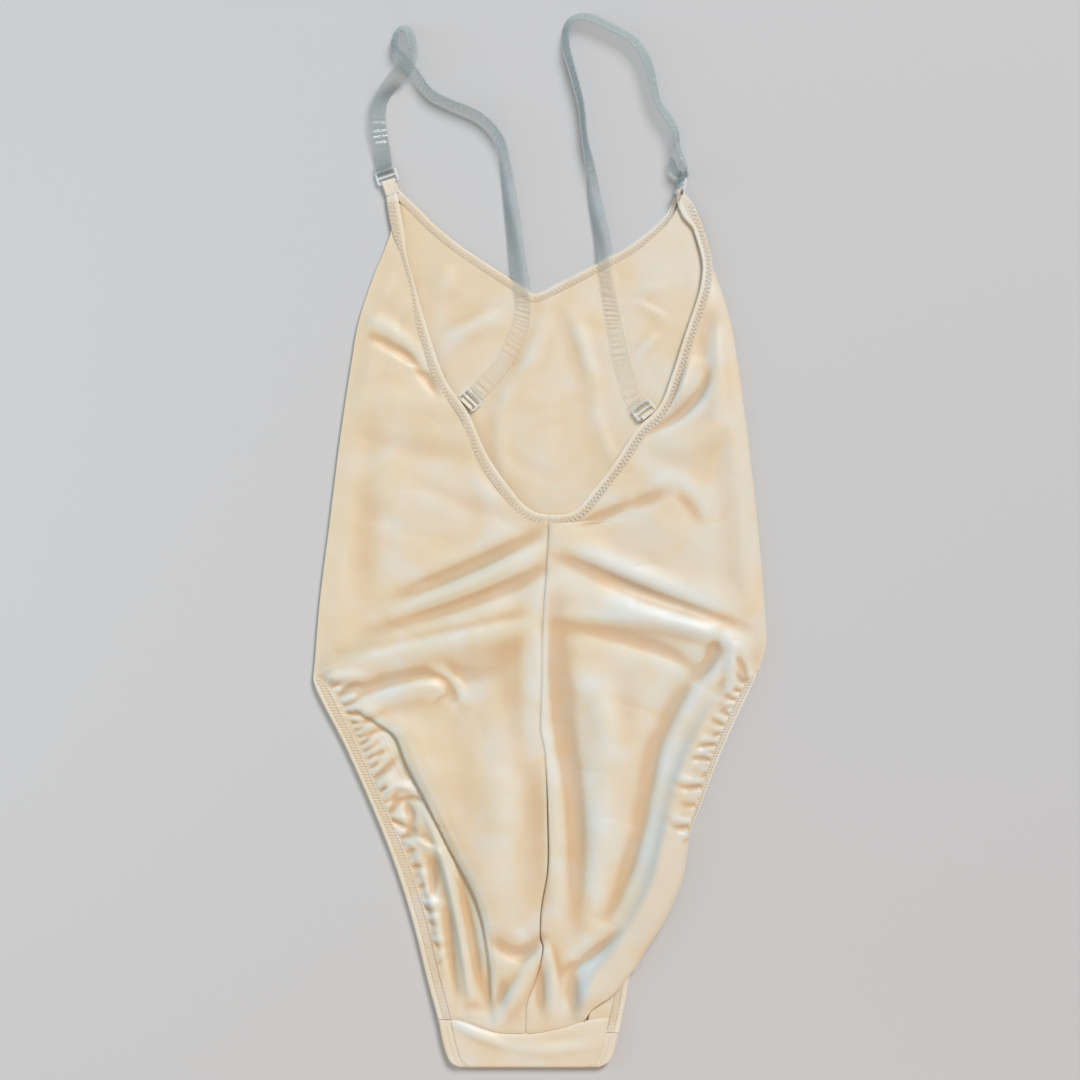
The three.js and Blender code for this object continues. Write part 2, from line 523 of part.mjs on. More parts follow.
// A flat strip swept along a path: each row gives its centre and roll, and the strip keeps its true width
function strip(path, segments, width, thick) {
  const points = path.map((row) => new THREE.Vector3(row.x, row.y, row.z));
  const centre = new THREE.CatmullRomCurve3(points, false, 'centripetal');
  const roll = new THREE.SplineCurve(path.map((row, i) => new THREE.Vector2(i, row.roll)));
  const up = new THREE.Vector3(0, 0, 1);
  const sections = samples(segments, 0, 1).map((u) => {
    const t = centre.getUtoTmapping(u);
    const p = centre.getPoint(t);
    const way = centre.getTangent(t);
    const flat = new THREE.Vector3().crossVectors(way, up).normalize();
    const lift = new THREE.Vector3().crossVectors(flat, way);
    const turn = degToRad(roll.getPoint(t).y);
    const across = flat.clone().multiplyScalar(Math.cos(turn)).addScaledVector(lift, Math.sin(turn));
    const out = lift.clone().multiplyScalar(Math.cos(turn)).addScaledVector(flat, -Math.sin(turn));
    const corner = (s, n) => (
      p.clone().addScaledVector(across, (s * width) / 2).addScaledVector(out, (n * thick) / 2).toArray());
    return { top: [corner(-1, 1), corner(1, 1)], under: [corner(-1, -1), corner(1, -1)] };
  });
  return wall(sections.map((s) => s.top), sections.map((s) => s.under));
}

// A slider's own frame: X across its width, Y towards the strap, Z out of its plate
function sliderFrame({ x, y, z, heading, tilt }) {
  return new THREE.Matrix4().makeTranslation(x, y, z)
    .multiply(new THREE.Matrix4().makeRotationZ(degToRad(heading - 90)))
    .multiply(new THREE.Matrix4().makeRotationY(degToRad(-tilt)));
}

// The moulded plate: a rounded frame with a bar across its middle, so it has two slots
function sliderPlate() {
  const { width, length, thick, side, end, middle } = SLIDER;
  const round = 2.4;
  const [w, l] = [width / 2, length / 2];
  const plate = new THREE.Shape();
  plate.moveTo(-w + round, -l);
  plate.lineTo(w - round, -l);
  plate.quadraticCurveTo(w, -l, w, -l + round);
  plate.lineTo(w, l - round);
  plate.quadraticCurveTo(w, l, w - round, l);
  plate.lineTo(-w + round, l);
  plate.quadraticCurveTo(-w, l, -w, l - round);
  plate.lineTo(-w, -l + round);
  plate.quadraticCurveTo(-w, -l, -w + round, -l);
  for (const way of [-1, 1]) {
    const slot = new THREE.Path();
    const [near, far] = [(way * middle) / 2, way * (l - end)];
    slot.moveTo(-w + side, near);
    slot.lineTo(-w + side, far);
    slot.lineTo(w - side, far);
    slot.lineTo(w - side, near);
    plate.holes.push(slot);
  }
  const geometry = new THREE.ExtrudeGeometry(plate, { depth: thick, bevelEnabled: false, curveSegments: 4 });
  return geometry.translate(0, 0, -thick / 2);
}

// A folded end round a slider's end bar: two legs joined by a half turn inside the slot, in the plate's frame
function loop(way, width, upperLeg, lowerLeg, thick) {
  const inner = SLIDER.thick / 2 + LOOP_PLAY;
  const outer = inner + thick;
  const fold = new THREE.Shape();
  fold.moveTo(upperLeg, inner);
  fold.lineTo(upperLeg, outer);
  fold.lineTo(0, outer);
  fold.absarc(0, 0, outer, Math.PI / 2, (3 * Math.PI) / 2, false);
  fold.lineTo(lowerLeg, -outer);
  fold.lineTo(lowerLeg, -inner);
  fold.lineTo(0, -inner);
  fold.absarc(0, 0, inner, (3 * Math.PI) / 2, Math.PI / 2, true);
  const geometry = new THREE.ExtrudeGeometry(fold, { depth: width, bevelEnabled: false, curveSegments: 6 });
  // the shape's x becomes the plate's y, its y the plate's z, and its depth the plate's x
  const turn = new THREE.Matrix4().makeBasis(
    new THREE.Vector3(0, way, 0), new THREE.Vector3(0, 0, 1), new THREE.Vector3(way, 0, 0));
  return geometry.applyMatrix4(turn).translate((-way * width) / 2, way * END_BAR, 0);
}

// Joining and trimming
function toManifold(geometry) {
  const bare = geometry.clone();
  bare.deleteAttribute('normal');
  bare.deleteAttribute('uv');
  const merged = mergeVertices(bare, 1e-4);
  return new wasm.Manifold(new wasm.Mesh({
    numProp: 3,
    vertProperties: new Float32Array(merged.attributes.position.array),
    triVerts: new Uint32Array(merged.index.array),
  }));
}
function fromManifold(body) {
  const mesh = body.getMesh();
  const geometry = new THREE.BufferGeometry();
  geometry.setAttribute('position', new THREE.Float32BufferAttribute(mesh.vertProperties, 3));
  geometry.setIndex(Array.from(mesh.triVerts));
  return geometry;
}
const joined = (...shapes) => fromManifold(shapes.map(toManifold).reduce((a, b) => a.add(b)));
const trimmed = (shape, cutter) => fromManifold(toManifold(shape).subtract(toManifold(cutter)));

// The sewn strap end or tab on one bar of a slider, placed in the garment
function placedLoop(name, way, width, upperLeg, lowerLeg, thick) {
  return loop(way, width, upperLeg, lowerLeg, thick).applyMatrix4(sliderFrame(SLIDERS[name]));
}

// The room that a front tab keeps clear of the bands that butt against it, in its slider's frame
const TAB_REACH = 12.6;
function tabRoom(name) {
  const box = new THREE.BoxGeometry(TAB_WIDTH + 9, 30, 26);
  return box.translate(0, 15 - TAB_REACH - SEAM_GAP, 0).applyMatrix4(sliderFrame(SLIDERS[name]));
}

const STRAP_LEG = 5.2;
const LOOP_EXTRA = 0.1;
const strapLoop = (name, upper, lower) => (
  placedLoop(name, 1, STRAP_WIDTH + LOOP_EXTRA, upper, lower, STRAP + LOOP_EXTRA));

const frontTabLeft = placedLoop('front_left', -1, TAB_WIDTH, TAB_REACH - END_BAR, TAB_REACH - END_BAR, STRAP);

// On the right the tab turns from flat, at the garment, to nearly upright at the slider
const TAB_TURN = table('x y z roll', [97.6, 242.1, 7.6, 74], [97.5, 241.2, 7.4, 72], [97.2, 239.5, 5.3, 45],
  [97, 238, 3.3, 15], [96.9, 237.2, 2.7, 6]);
const frontTabRight = joined(placedLoop('front_right', -1, TAB_WIDTH, 2.4, 2.4, STRAP),
  strip(TAB_TURN, 8, TAB_WIDTH, 4.0));

// A point on a strap loop's leg, where the strap's own path starts or ends: the lower leg is on face -1
function legPoint(name, distance, roll, face = -1) {
  const depth = face * (SLIDER.thick / 2 + LOOP_PLAY + STRAP / 2);
  const p = new THREE.Vector3(0, END_BAR + distance, depth).applyMatrix4(sliderFrame(SLIDERS[name]));
  return { x: p.x, y: p.y, z: p.z, roll };
}

const strapLeft = joined(
  strip([legPoint('back_left', 4, 0), ...STRAP_PATHS.left, legPoint('front_left', 4, 0)],
    96, STRAP_WIDTH, STRAP),
  strapLoop('back_left', STRAP_LEG, STRAP_LEG + 1.5),
  strapLoop('front_left', STRAP_LEG, STRAP_LEG + 1.5));
const strapRight = joined(
  strip([legPoint('back_right', 4, 0), ...STRAP_PATHS.right, legPoint('front_right', 1.5, 74)],
    92, STRAP_WIDTH, STRAP),
  strip([legPoint('front_right', 2.2, 74, 1), ...TAIL_PATH], 5, STRAP_WIDTH, STRAP),
  strapLoop('back_right', STRAP_LEG, STRAP_LEG + 1.5),
  strapLoop('front_right', 2.6, 2.6));

// Materials
const cloth = { color: 0xe6d3b6, roughness: 0.6, metalness: 0 };
const edging = { color: 0xe2d5bd, roughness: 0.7, metalness: 0 };
const clearStrap = { color: 0xb4c0ba, roughness: 0.35, metalness: 0, transparent: true, opacity: 0.7 };
const clearPlastic = { color: 0xdfe8ea, roughness: 0.15, metalness: 0, transparent: true, opacity: 0.6 };

const leotard = new THREE.Group();
function add(name, geometry, finish) {
  const mesh = new THREE.Mesh(geometry, new THREE.MeshStandardMaterial(finish));
  mesh.name = name;
  leotard.add(mesh);
  return mesh;
}

add('front', frontPanel(), cloth);
add('back_left', backPanel('left'), cloth);
add('back_right', backPanel('right'), cloth);
add('front_neck_band', trimmed(trimmed(neckBand(), tabRoom('front_left')), tabRoom('front_right')), edging);
add('scoop_band_left', trimmed(scoopBand('left'), tabRoom('front_left')), edging);
add('scoop_band_right', trimmed(scoopBand('right'), tabRoom('front_right')), edging);
for (const side of ['left', 'right']) {
  add(`leg_band_back_${side}`, legBandBack(side), edging);
  add(`leg_band_front_${side}`, legBandFront(side), edging);
}
add('front_tab_left', frontTabLeft, cloth);
add('front_tab_right', frontTabRight, cloth);
add('back_tab_left', placedLoop('back_left', -1, TAB_WIDTH, 0.2, 7, STRAP), cloth);
add('back_tab_right', placedLoop('back_right', -1, TAB_WIDTH, 1.0, 7, STRAP), cloth);
for (const [name, place] of Object.entries(SLIDERS)) {
  add(`slider_${name}`, sliderPlate().applyMatrix4(sliderFrame(place)), clearPlastic);
}
add('strap_left', strapLeft, clearStrap);
add('strap_right', strapRight, clearStrap);

export default leotard;
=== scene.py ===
# %% [markdown]
# A camisole leotard of tan stretch knit, laid flat with its back up. The rigid frame that every piece
# is built around comes in first.

import math

import bmesh
import bpy
import numpy as np
from mathutils import Matrix, Vector


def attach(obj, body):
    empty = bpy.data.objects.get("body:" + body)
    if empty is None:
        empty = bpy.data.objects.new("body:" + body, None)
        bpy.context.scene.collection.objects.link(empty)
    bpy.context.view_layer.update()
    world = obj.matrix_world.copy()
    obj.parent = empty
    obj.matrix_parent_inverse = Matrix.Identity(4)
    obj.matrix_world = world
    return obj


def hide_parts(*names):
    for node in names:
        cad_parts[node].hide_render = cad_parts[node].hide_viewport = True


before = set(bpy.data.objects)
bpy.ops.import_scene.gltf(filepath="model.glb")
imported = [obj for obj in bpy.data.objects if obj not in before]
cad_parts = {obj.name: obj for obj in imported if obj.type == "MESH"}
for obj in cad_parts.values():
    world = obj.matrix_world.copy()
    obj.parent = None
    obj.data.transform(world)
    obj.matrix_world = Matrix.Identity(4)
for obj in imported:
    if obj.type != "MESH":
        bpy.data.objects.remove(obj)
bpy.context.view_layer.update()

# %% [markdown]
# All sizes are written in millimetres, as a pattern cutter would, and turned into metres when a mesh is
# made. The knit is a thin shell, the elastic edges are about twice as thick, and the straps are 12 mm wide.

# %% Sizes
MM = 0.001
CLOTH = 1.2
SHELL = 0.9
ELASTIC = 2.0
NECK_BAND = 6.0
STRAP_WIDTH = 12.0
STRAP_THICK = 1.0
TAB_WIDTH = 11.0
# pieces stop this short of each other, and cloth goes this far under an elastic edge
SEAM_GAP = 0.3
TUCK = 1.8
# places along the garment, from its strap points down to its lower end
SHOULDER = 236.0
PANEL_TOP = 210.0
HIP = -92.0
LOWER_END = -369.6
# the front wraps round the crotch in a half turn of this radius
WRAP = 2.7
WRAP_CENTRE = LOWER_END + WRAP
# how far the underside of each layer lies above the ground
SIDE_LIFT = CLOTH + SEAM_GAP
BACK_LIFT = 4.2
LEG_BAND_LIFT = ELASTIC + SEAM_GAP
print("cloth", CLOTH, "elastic", ELASTIC, "straps", STRAP_WIDTH, "mm")

# %% [markdown]
# The garment's outline is a short table for each side: the x of the edge at each y. A table keeps one row
# per place on the cloth, so a curve can be corrected by changing one row.

# %% The outline and edges as tables


def table(names, *rows):
    """Turns rows of numbers into one array per named column."""
    return dict(zip(names.split(), np.array(rows, float).T))


OUTLINE = {
    "left": table(
        "y x", (244, -108.9), (233.8, -106.8), (219.8, -104), (206, -107.9), (184.8, -116.6),
        (153.3, -127), (125.3, -132), (69.3, -140.4), (13.3, -147.4), (-42.7, -154.4), (-84.7, -157.9),
        (-98.7, -158.6), (-112.7, -153), (-140.7, -138.3), (-182.7, -119.4), (-224.7, -102.6),
        (-266.7, -89.3), (-308.7, -78.8), (-336.7, -71.1), (-350.7, -68.3), (-364.7, -63.4),
        (-369.6, -57)),
    "right": table(
        "y x", (244, 101.2), (233.8, 103.3), (219.8, 109.6), (206, 114), (184.8, 123.6), (153.3, 133.4),
        (125.3, 138.3), (69.3, 146), (13.3, 152.3), (-42.7, 157.2), (-70.7, 158.6), (-84.7, 155.8),
        (-98.7, 150.2), (-140.7, 130.6), (-182.7, 113.8), (-210.7, 104.7), (-238.7, 98.4),
        (-266.7, 86.5), (-294.7, 69), (-308.7, 63.4), (-336.7, 57), (-350.7, 53.6), (-364.7, 48.7),
        (-369.6, 42)),
}
LEG_EDGE = {
    "left": table(
        "y inset lift", (-92, 0.1, 1.5), (-96, 3, 2.0), (-103, 9.5, 2.7), (-130, 9.8, 2.7),
        (-182, 9.5, 2.7), (-219, 11, 2.7), (-310, 11.3, 3.4), (-336, 11.4, 4.2)),
    "right": table(
        "y inset lift", (-92, 0.1, 1.5), (-96, 3, 2.0), (-103, 6.8, 2.7), (-165, 5.4, 2.7),
        (-188, 4.4, 4.8), (-196, 3.6, 4.9), (-222, 0.3, 4.9), (-294, 0.2, 4.9), (-300, 0.6, 4.9),
        (-307, 4.0, 4.9), (-315, 8.2, 4.9), (-321, 13.4, 4.8), (-326, 20.4, 4.6), (-330, 24.4, 4.4),
        (-336, 25.4, 4.2)),
}
RIGHT_BAND = table(
    "y inset width", (-92, 0, 0.1), (-96, 0, 2.7), (-103, 0, 6.5), (-165, 0, 5.1), (-188, 0, 4.1),
    (-205, 1.2, 5.5), (-225, 2.5, 9.5), (-300, 2.5, 10), (-320, 0.3, 10.4), (-345, 0, 10.5))
FRONT_BAND = table(
    "y width", (-92, 0.1), (-96, 2.8), (-103, 9.5), (-182, 9.5), (-260, 10.4), (-370, 10.4))
NECKLINE = table(
    "x y", (-101.5, 247.5), (-97.7, 244.3), (-86.5, 233.8), (-72.5, 219.8), (-55, 205.8), (-34, 191.8),
    (-13.7, 178.5), (-6.7, 173.6), (-1.8, 172.9), (8.8, 177.8), (40.3, 193.9), (62, 205.8),
    (80.2, 219.8), (87.2, 226.8), (91.4, 233.8), (94.6, 242))
SCOOP = table(
    "x y width lift", (-101.5, 250, 8, 2.3), (-95.2, 217, 8.4, 2.3), (-93.5, 200.2, 4.2, 2.8),
    (-88.6, 182, 4.2, 3.2), (-81.2, 155.4, 7, 3.7), (-66.9, 113.8, 7.5, 3.8), (-50.9, 90, 7, 3.8),
    (-36.8, 59.5, 8, 3.8), (-21.2, 36.6, 8, 3.8), (-8.3, 22.3, 7.6, 3.8), (6, 17.7, 7.2, 3.8),
    (23.8, 20.2, 7.4, 3.8), (36.6, 34.4, 8, 3.8), (51.7, 53.8, 8.2, 3.8), (67.3, 77.3, 8.2, 3.8),
    (83.2, 93.2, 8, 3.8), (92.3, 115.6, 8, 3.8), (101, 142.5, 7.8, 3.8), (110.3, 170, 7.5, 3.6),
    (113.4, 185, 7.2, 3.2), (113.1, 198.1, 7, 2.8), (106.8, 219.1, 7, 2.4), (99.1, 237, 7, 2.3),
    (95.5, 246, 7, 2.3))
SCOOP_CENTRE_ROW = 10
CENTRE_SEAM = table(
    "y x", (17, 6), (-14.7, 4.6), (-56.7, 2), (-96.6, 1.5), (-133.7, 0.4), (-148.4, 3.2), (-194.6, 5),
    (-230.3, 5), (-257.6, 0.7), (-278.6, -0.1), (-285.6, 1.8), (-307.3, -2.7), (-323.1, -8.8),
    (-330.1, -9.9), (-347, -10.2))
CROTCH_SEAM = table(
    "x y", (-75, -335), (-58, -336), (-31, -345), (-10, -345.8), (4, -344.4), (18, -341), (32, -336.7),
    (60, -333))
RIGHT_BAND_SEAM = -345.0
print("outline rows", len(OUTLINE["left"]["y"]), len(OUTLINE["right"]["y"]))

# %% [markdown]
# Two ways to read those rows: at any value of their first column, and as a smooth path with even steps.
# Both pass through every row, which is how a tailor's curve is drawn through its marks. Soft steps and
# soft ridges are the two shapes that all of the cloth's relief is made from.

# %% Curves through table rows

FINE_STEPS = 3000


def smooth(x, low, high):
    """0 below low, 1 above high, and a soft step between."""
    t = np.clip((np.asarray(x, float) - low) / (high - low), 0, 1)
    return t * t * (3 - 2 * t)


def ridge(away, width):
    """1 on a line, and softly down to 0 at about two widths away from it."""
    return np.exp(-((away / width) ** 2))


def follow(tab, name, at):
    """Reads a column at any value of the table's first column, on a smooth curve through the rows."""
    key = next(iter(tab))
    order = np.argsort(tab[key])
    k, c = tab[key][order], tab[name][order]
    slope = np.gradient(c)
    slope[1:-1] = (c[2:] - c[:-2]) / (k[2:] - k[:-2])
    slope[0], slope[-1] = (c[1] - c[0]) / (k[1] - k[0]), (c[-1] - c[-2]) / (k[-1] - k[-2])
    at = np.asarray(at, float)
    i = np.clip(np.searchsorted(k, at) - 1, 0, len(k) - 2)
    span = k[i + 1] - k[i]
    t = np.clip((at - k[i]) / span, 0, 1)
    a, b, pull, push = c[i], c[i + 1], slope[i] * span, slope[i + 1] * span
    return a + t * pull + t**2 * (3 * (b - a) - 2 * pull - push) + t**3 * (2 * (a - b) + pull + push)


def spline(points, t):
    """Points of a smooth curve through rows of points, at t from 0 to 1."""
    p = np.vstack([points[:1], points, points[-1:]])
    s = np.clip(np.asarray(t, float), 0, 1) * (len(points) - 1)
    i = np.minimum(s.astype(int), len(points) - 2)
    f = (s - i)[:, None]
    a, b, c, d = p[i], p[i + 1], p[i + 2], p[i + 3]
    pull, push = (c - a) / 2, (d - b) / 2
    return (2 * b - 2 * c + pull + push) * f**3 + (3 * c - 3 * b - 2 * pull - push) * f**2 + pull * f + b


def run_along(points):
    """How far along a path each of its points lies."""
    return np.concatenate([[0], np.cumsum(np.linalg.norm(np.diff(points, axis=0), axis=1))])


def unit(rows):
    """Each row scaled to a length of 1."""
    return rows / np.linalg.norm(rows, axis=1)[:, None]


def even_steps(points, rows, axes=2, start=0.0, end=1.0):
    """Samples the curve at even lengths: rows of points and the curve's unit direction at each."""
    fine = spline(points, np.linspace(start, end, FINE_STEPS))
    reach = run_along(fine[:, :axes])
    wanted = np.linspace(0, reach[-1], rows)
    out = np.stack([np.interp(wanted, reach, column) for column in fine.T], axis=1)
    return out, unit(np.gradient(out[:, :axes], axis=0))


def side_x(side, y):
    """The garment's outer edge at y."""
    return follow(OUTLINE[side], "x", y)


def inward(side):
    """The way from that edge towards the middle."""
    return 1 if side == "left" else -1


print("hips from", round(float(side_x("left", HIP))), "to", round(float(side_x("right", HIP))), "mm")

# %% [markdown]
# The cloth's relief. A knit that lies loose falls into long soft folds, and each is one row here: a bent
# path of three points, a height that is negative for a trough, a width, and a lean that makes one side
# steeper. Real folds are never equal, so the rows are placed one by one.

# %% Folds

FOLD_COLUMNS = "x0 y0 x1 y1 x2 y2 height width lean"
BACK_FOLDS = table(
    FOLD_COLUMNS,
    # across the hips, left
    (-2, 4, -52, -22, -106, -39, -1.6, 6, 0),
    (-3.9, -9, -46, -32, -95, -49.7, 2.6, 7, 0.2),
    (0, -23, -40, -40, -114, -62, -1.9, 5.5, 0),
    (-8, -44, -60, -58, -125, -74, 1.2, 7, 0),
    (-10.9, -60.2, -63.4, -70.7, -139, -88.2, 3.6, 8, 0.3),
    (-120, 143, -104, 136, -90, 127, -1.7, 4, 0.2),
    (-98, 133, -84, 122, -72, 102, -1.6, 3.6, 0),
    (-128, 158, -96, 146, -80, 121, 1.1, 6, 0),
    (-94, 123, -87, 121, -79, 118, 1.0, 2.6, 0),
    (-138, 96, -100, 104, -66, 92, 1.0, 10, 0),
    (-120, 74, -92, 62, -52, 62, -0.9, 9, 0),
    (-132, 60, -104, 20, -56, 26, 0.9, 14, 0),
    (-96, 46, -60, 30, -30, 16, -0.8, 8, 0),
    (-50, 52, -42, 38, -24, 22, 0.7, 5, 0),
    (-134.4, -105.7, -87.2, -97, -34.7, -93, -1.6, 6.5, 0),
    (-66, -105.7, -74, -95, -123.6, -112.7, 3.0, 5.5, 0.2),
    (-76.7, -90.5, -60.7, -91, -53.9, -111, 1.4, 3.5, 0.2),
    (-70, -97, -62, -104, -60, -114, -1.0, 3.5, 0),
    (-150, -100, -140, -94, -118, -96, 1.4, 4, 0),
    (-146, -107, -138, -101, -124, -104, -1.2, 3, 0),
    # across the hips, right
    (10, -2, 60, -22, 131, -46, 2.2, 8, 0.3),
    (22, -12, 62, -36, 138, -60, -2.3, 5.5, -0.3),
    (14, -34, 70, -48, 120, -66, 1.0, 8, 0),
    (19.6, -51.5, 107.1, -52, 145.6, -77.7, 2.8, 7.5, 0.3),
    (20.7, -61.6, 92.8, -74, 112, -91.7, -1.8, 6, 0),
    (26, 11, 44, 14, 60, 26, -1.4, 4, 0.3),
    (52, 18, 74, 30, 90, 33, -1.1, 5, 0),
    (70, 50, 96, 42, 124, 24, 1.0, 9, 0),
    (90, 40, 108, 24, 112, 12, -0.7, 5, 0),
    (104, 124, 101, 100, 80, 86, 2.4, 6, 0.2),
    (117, 118, 113, 92, 78, 77, -2.2, 4.5, -0.3),
    (124, 164, 110, 144, 117, 112, -1.6, 5.5, 0.2),
    (128, 146, 122, 120, 126, 84, 1.2, 7, 0),
    (84, 68, 110, 70, 140, 84, 0.8, 8, 0),
    # along the centre
    (2, -34, -3, -92, -2, -168, 2.8, 11, 0),
    (-6, -150, -8, -200, -12, -262, -0.4, 9, 0),
    (9, -44, 8, -112, 20, -160, -2.3, 7, 0.3),
    (15, -130, 32, -200, 25, -276, -2.5, 7.5, 0),
    (6, -146, 13, -200, 10, -264, 1.9, 6, 0),
    (44, -100, 50, -180, 36, -256, 2.4, 12, 0),
    (26, -90, 46, -118, 60, -160, 1.0, 9, 0.2),
    (-34, -110, -22, -190, -24, -268, 2.8, 17, 0),
    (-118, 100, -124, 20, -122, -60, -1.5, 11, 0),
    (126, 70, 134, 0, 136, -50, -0.9, 10, 0),
    # pocket and trough beside the right billow
    (124, -64, 122, -84, 111, -98, -2.4, 4, 0),
    (136, -74, 133, -88, 134, -104, 1.8, 3.2, 0),
    (119, -82, 84, -120, 77, -168, -2.5, 7, -0.35),
    (80, -142, 73, -190, 62, -234, -2.6, 7, -0.35),
    (66, -212, 58, -246, 45, -267, -2.2, 6, -0.3),
    (15, -303, 36, -293, 53, -275, -2.2, 4, 0.3),
    (25, -298, 21, -316, 24, -338, -2.5, 5, 0),
    (4, -284, 10, -306, 9, -332, 2.1, 4, -0.3),
    (0, -296, 2, -314, -1, -332, -1.2, 3.5, 0),
    # left of the seam, down to the crotch
    (-31, -277, -14, -301, -0.5, -279, -2.8, 6.5, 0.3),
    (-31.2, -335, -19, -322, -2.3, -291, 2.2, 4.5, -0.2),
    (-36, -296, -37, -318, -35, -336, -1.6, 3, 0),
    (-26, -306, -27, -318, -29, -332, -1.2, 4, 0),
    # between the left billow and its leg band
    (-78.4, -193.2, -59, -238.7, -48.7, -318, 3.8, 4, 0.3),
    (-86, -221, -74, -256, -66, -306, 2.6, 3.2, 0.2),
    (-58, -236, -47, -282, -40, -324, -3.2, 4.6, 0),
    (-66, -262, -65, -285, -59, -322, -2.6, 3.8, 0),
    (-95, -183, -88, -193, -90.7, -204, -2.4, 3.4, 0),
    (-77, -226, -74, -237, -77, -252, -2.2, 3.0, 0),
    (-56, -330, -46, -322, -36, -334, -1.4, 4, 0),
    (-112, -178, -103, -167, -87, -176, 2.4, 3.2, 0.3),
    (-104, -185, -94, -180, -83, -181.5, -1.8, 2.2, 0),
    (-98, -213, -86, -207, -68, -221.5, 2.6, 3.6, -0.4),
    (-99, -208.5, -92, -207.5, -82, -215, -1.4, 2.2, 0),
)
FRONT_FOLDS = table(
    FOLD_COLUMNS,
    # the raised tongue in the middle, between two long troughs
    (-4.9, 168, -9, 134, -31.2, 106.4, -1.5, 3.6, 0.4),
    (-31.2, 107, -44, 82, -36, 50, -1.5, 3.6, 0.4),
    (-38, 56, -34, 40, -22, 29, -0.9, 4, 0),
    (2, 164, 0, 132, -23, 104, 1.7, 7, 0.3),
    (-24, 104, -34, 78, -24, 46, 1.5, 7, 0.3),
    (12.6, 163, 27, 130, 31.9, 88.9, -1.5, 4, -0.4),
    (31.5, 92, 34, 62, 42, 38, -1.5, 4, -0.4),
    (20, 160, 36, 128, 40, 86, 1.6, 6, 0.3),
    (40, 88, 46, 66, 50, 54, 1.3, 4, 0.3),
    (4, 110, 8, 80, 6, 40, 0.8, 12, 0),
    (-24, 62, -8, 50, 22, 36, -0.6, 5, 0),
    # above the left strap
    (-27.6, 169, -50, 164, -72, 150, -1.8, 4.5, 0.3),
    (-28, 160, -54, 148, -70, 134, 1.3, 7, 0),
    (-79, 168, -78, 158, -74, 149, -0.9, 4, 0),
    (-62, 192, -66, 180, -74, 172, 1.0, 7, 0),
    (-44, 142, -48, 128, -44, 112, -0.8, 6, 0),
    # creases right of the right strap
    (64.8, 167, 76, 164, 88, 155, 0.9, 2.4, 0),
    (72, 158, 80, 152, 84, 146, -0.6, 2.4, 0),
    (81, 143, 74, 136, 67, 125, 0.9, 2.6, 0),
    (79, 125, 82, 116, 81, 108, -0.7, 3, 0),
    (60, 180, 72, 176, 88, 176, 0.8, 6, 0),
    (104, 186, 102, 172, 102, 158, -1.0, 5, 0),
)
FLAP_FOLDS = table(
    FOLD_COLUMNS,
    (-62.7, -336, -42, -350, -14, -356, 1.7, 4.5, 0.4),
    (-14, -356, 6, -360, 40, -353, 1.6, 4.5, 0.4),
    (-56, -334, -40, -343, -20, -351, -0.7, 2.6, 0),
    (0, -350, 14, -351, 30, -347, -0.6, 3.5, 0),
)


# a fold runs on past its first and last point by this share of its path, and is felt this many widths away
FOLD_RUN_ON = 0.12
FOLD_STEPS = 31
FOLD_REACH = 3.6
FOLD_SWELL = 1.06


def fold_height(folds, x, y, spread=1.0):
    """Height that a table of folds adds at points x, y, fading at the ends of each."""
    height = np.zeros_like(x)
    t = np.linspace(-FOLD_RUN_ON, 1 + FOLD_RUN_ON, FOLD_STEPS)
    for i in range(len(folds["height"])):
        f = {name: column[i] for name, column in folds.items()}
        bx = (1 - t) ** 2 * f["x0"] + 2 * t * (1 - t) * f["x1"] + t**2 * f["x2"]
        by = (1 - t) ** 2 * f["y0"] + 2 * t * (1 - t) * f["y1"] + t**2 * f["y2"]
        reach = FOLD_REACH * f["width"]
        near = (x > bx.min() - reach) & (x < bx.max() + reach)
        near &= (y > by.min() - reach) & (y < by.max() + reach)
        px, py = x[near][:, None], y[near][:, None]
        ax, ay = bx[None, :-1], by[None, :-1]
        dx, dy = np.diff(bx)[None, :], np.diff(by)[None, :]
        s = np.clip(((px - ax) * dx + (py - ay) * dy) / (dx**2 + dy**2), 0, 1)
        gap = np.hypot(ax + s * dx - px, ay + s * dy - py)
        best = gap.argmin(axis=1)
        rows = np.arange(len(best))
        s, gap = s[rows, best], gap[rows, best]
        turn = dx[0, best] * (py[:, 0] - ay[0, best]) - dy[0, best] * (px[:, 0] - ax[0, best])
        along = (best + s) / (len(t) - 1)
        width = spread * f["width"] * (1 + f["lean"] * np.sign(turn) * np.tanh(gap / f["width"]))
        fade = FOLD_SWELL * np.sin(np.pi * np.clip(along, 0, 1))
        height[near] += f["height"] * fade * ridge(gap, width)
    return height


print("folds", len(BACK_FOLDS["height"]), "on the backs,", len(FRONT_FOLDS["height"]), "inside the front")

# %% [markdown]
# Where the elastic pulls the leg edge shorter, the spare cloth stands up behind it as a billow with one
# long edge, and puckers into short gathers at the band. Billows are a path with a height at each row, and
# gathers are short troughs that start at the band.

# %% Billows and gathers

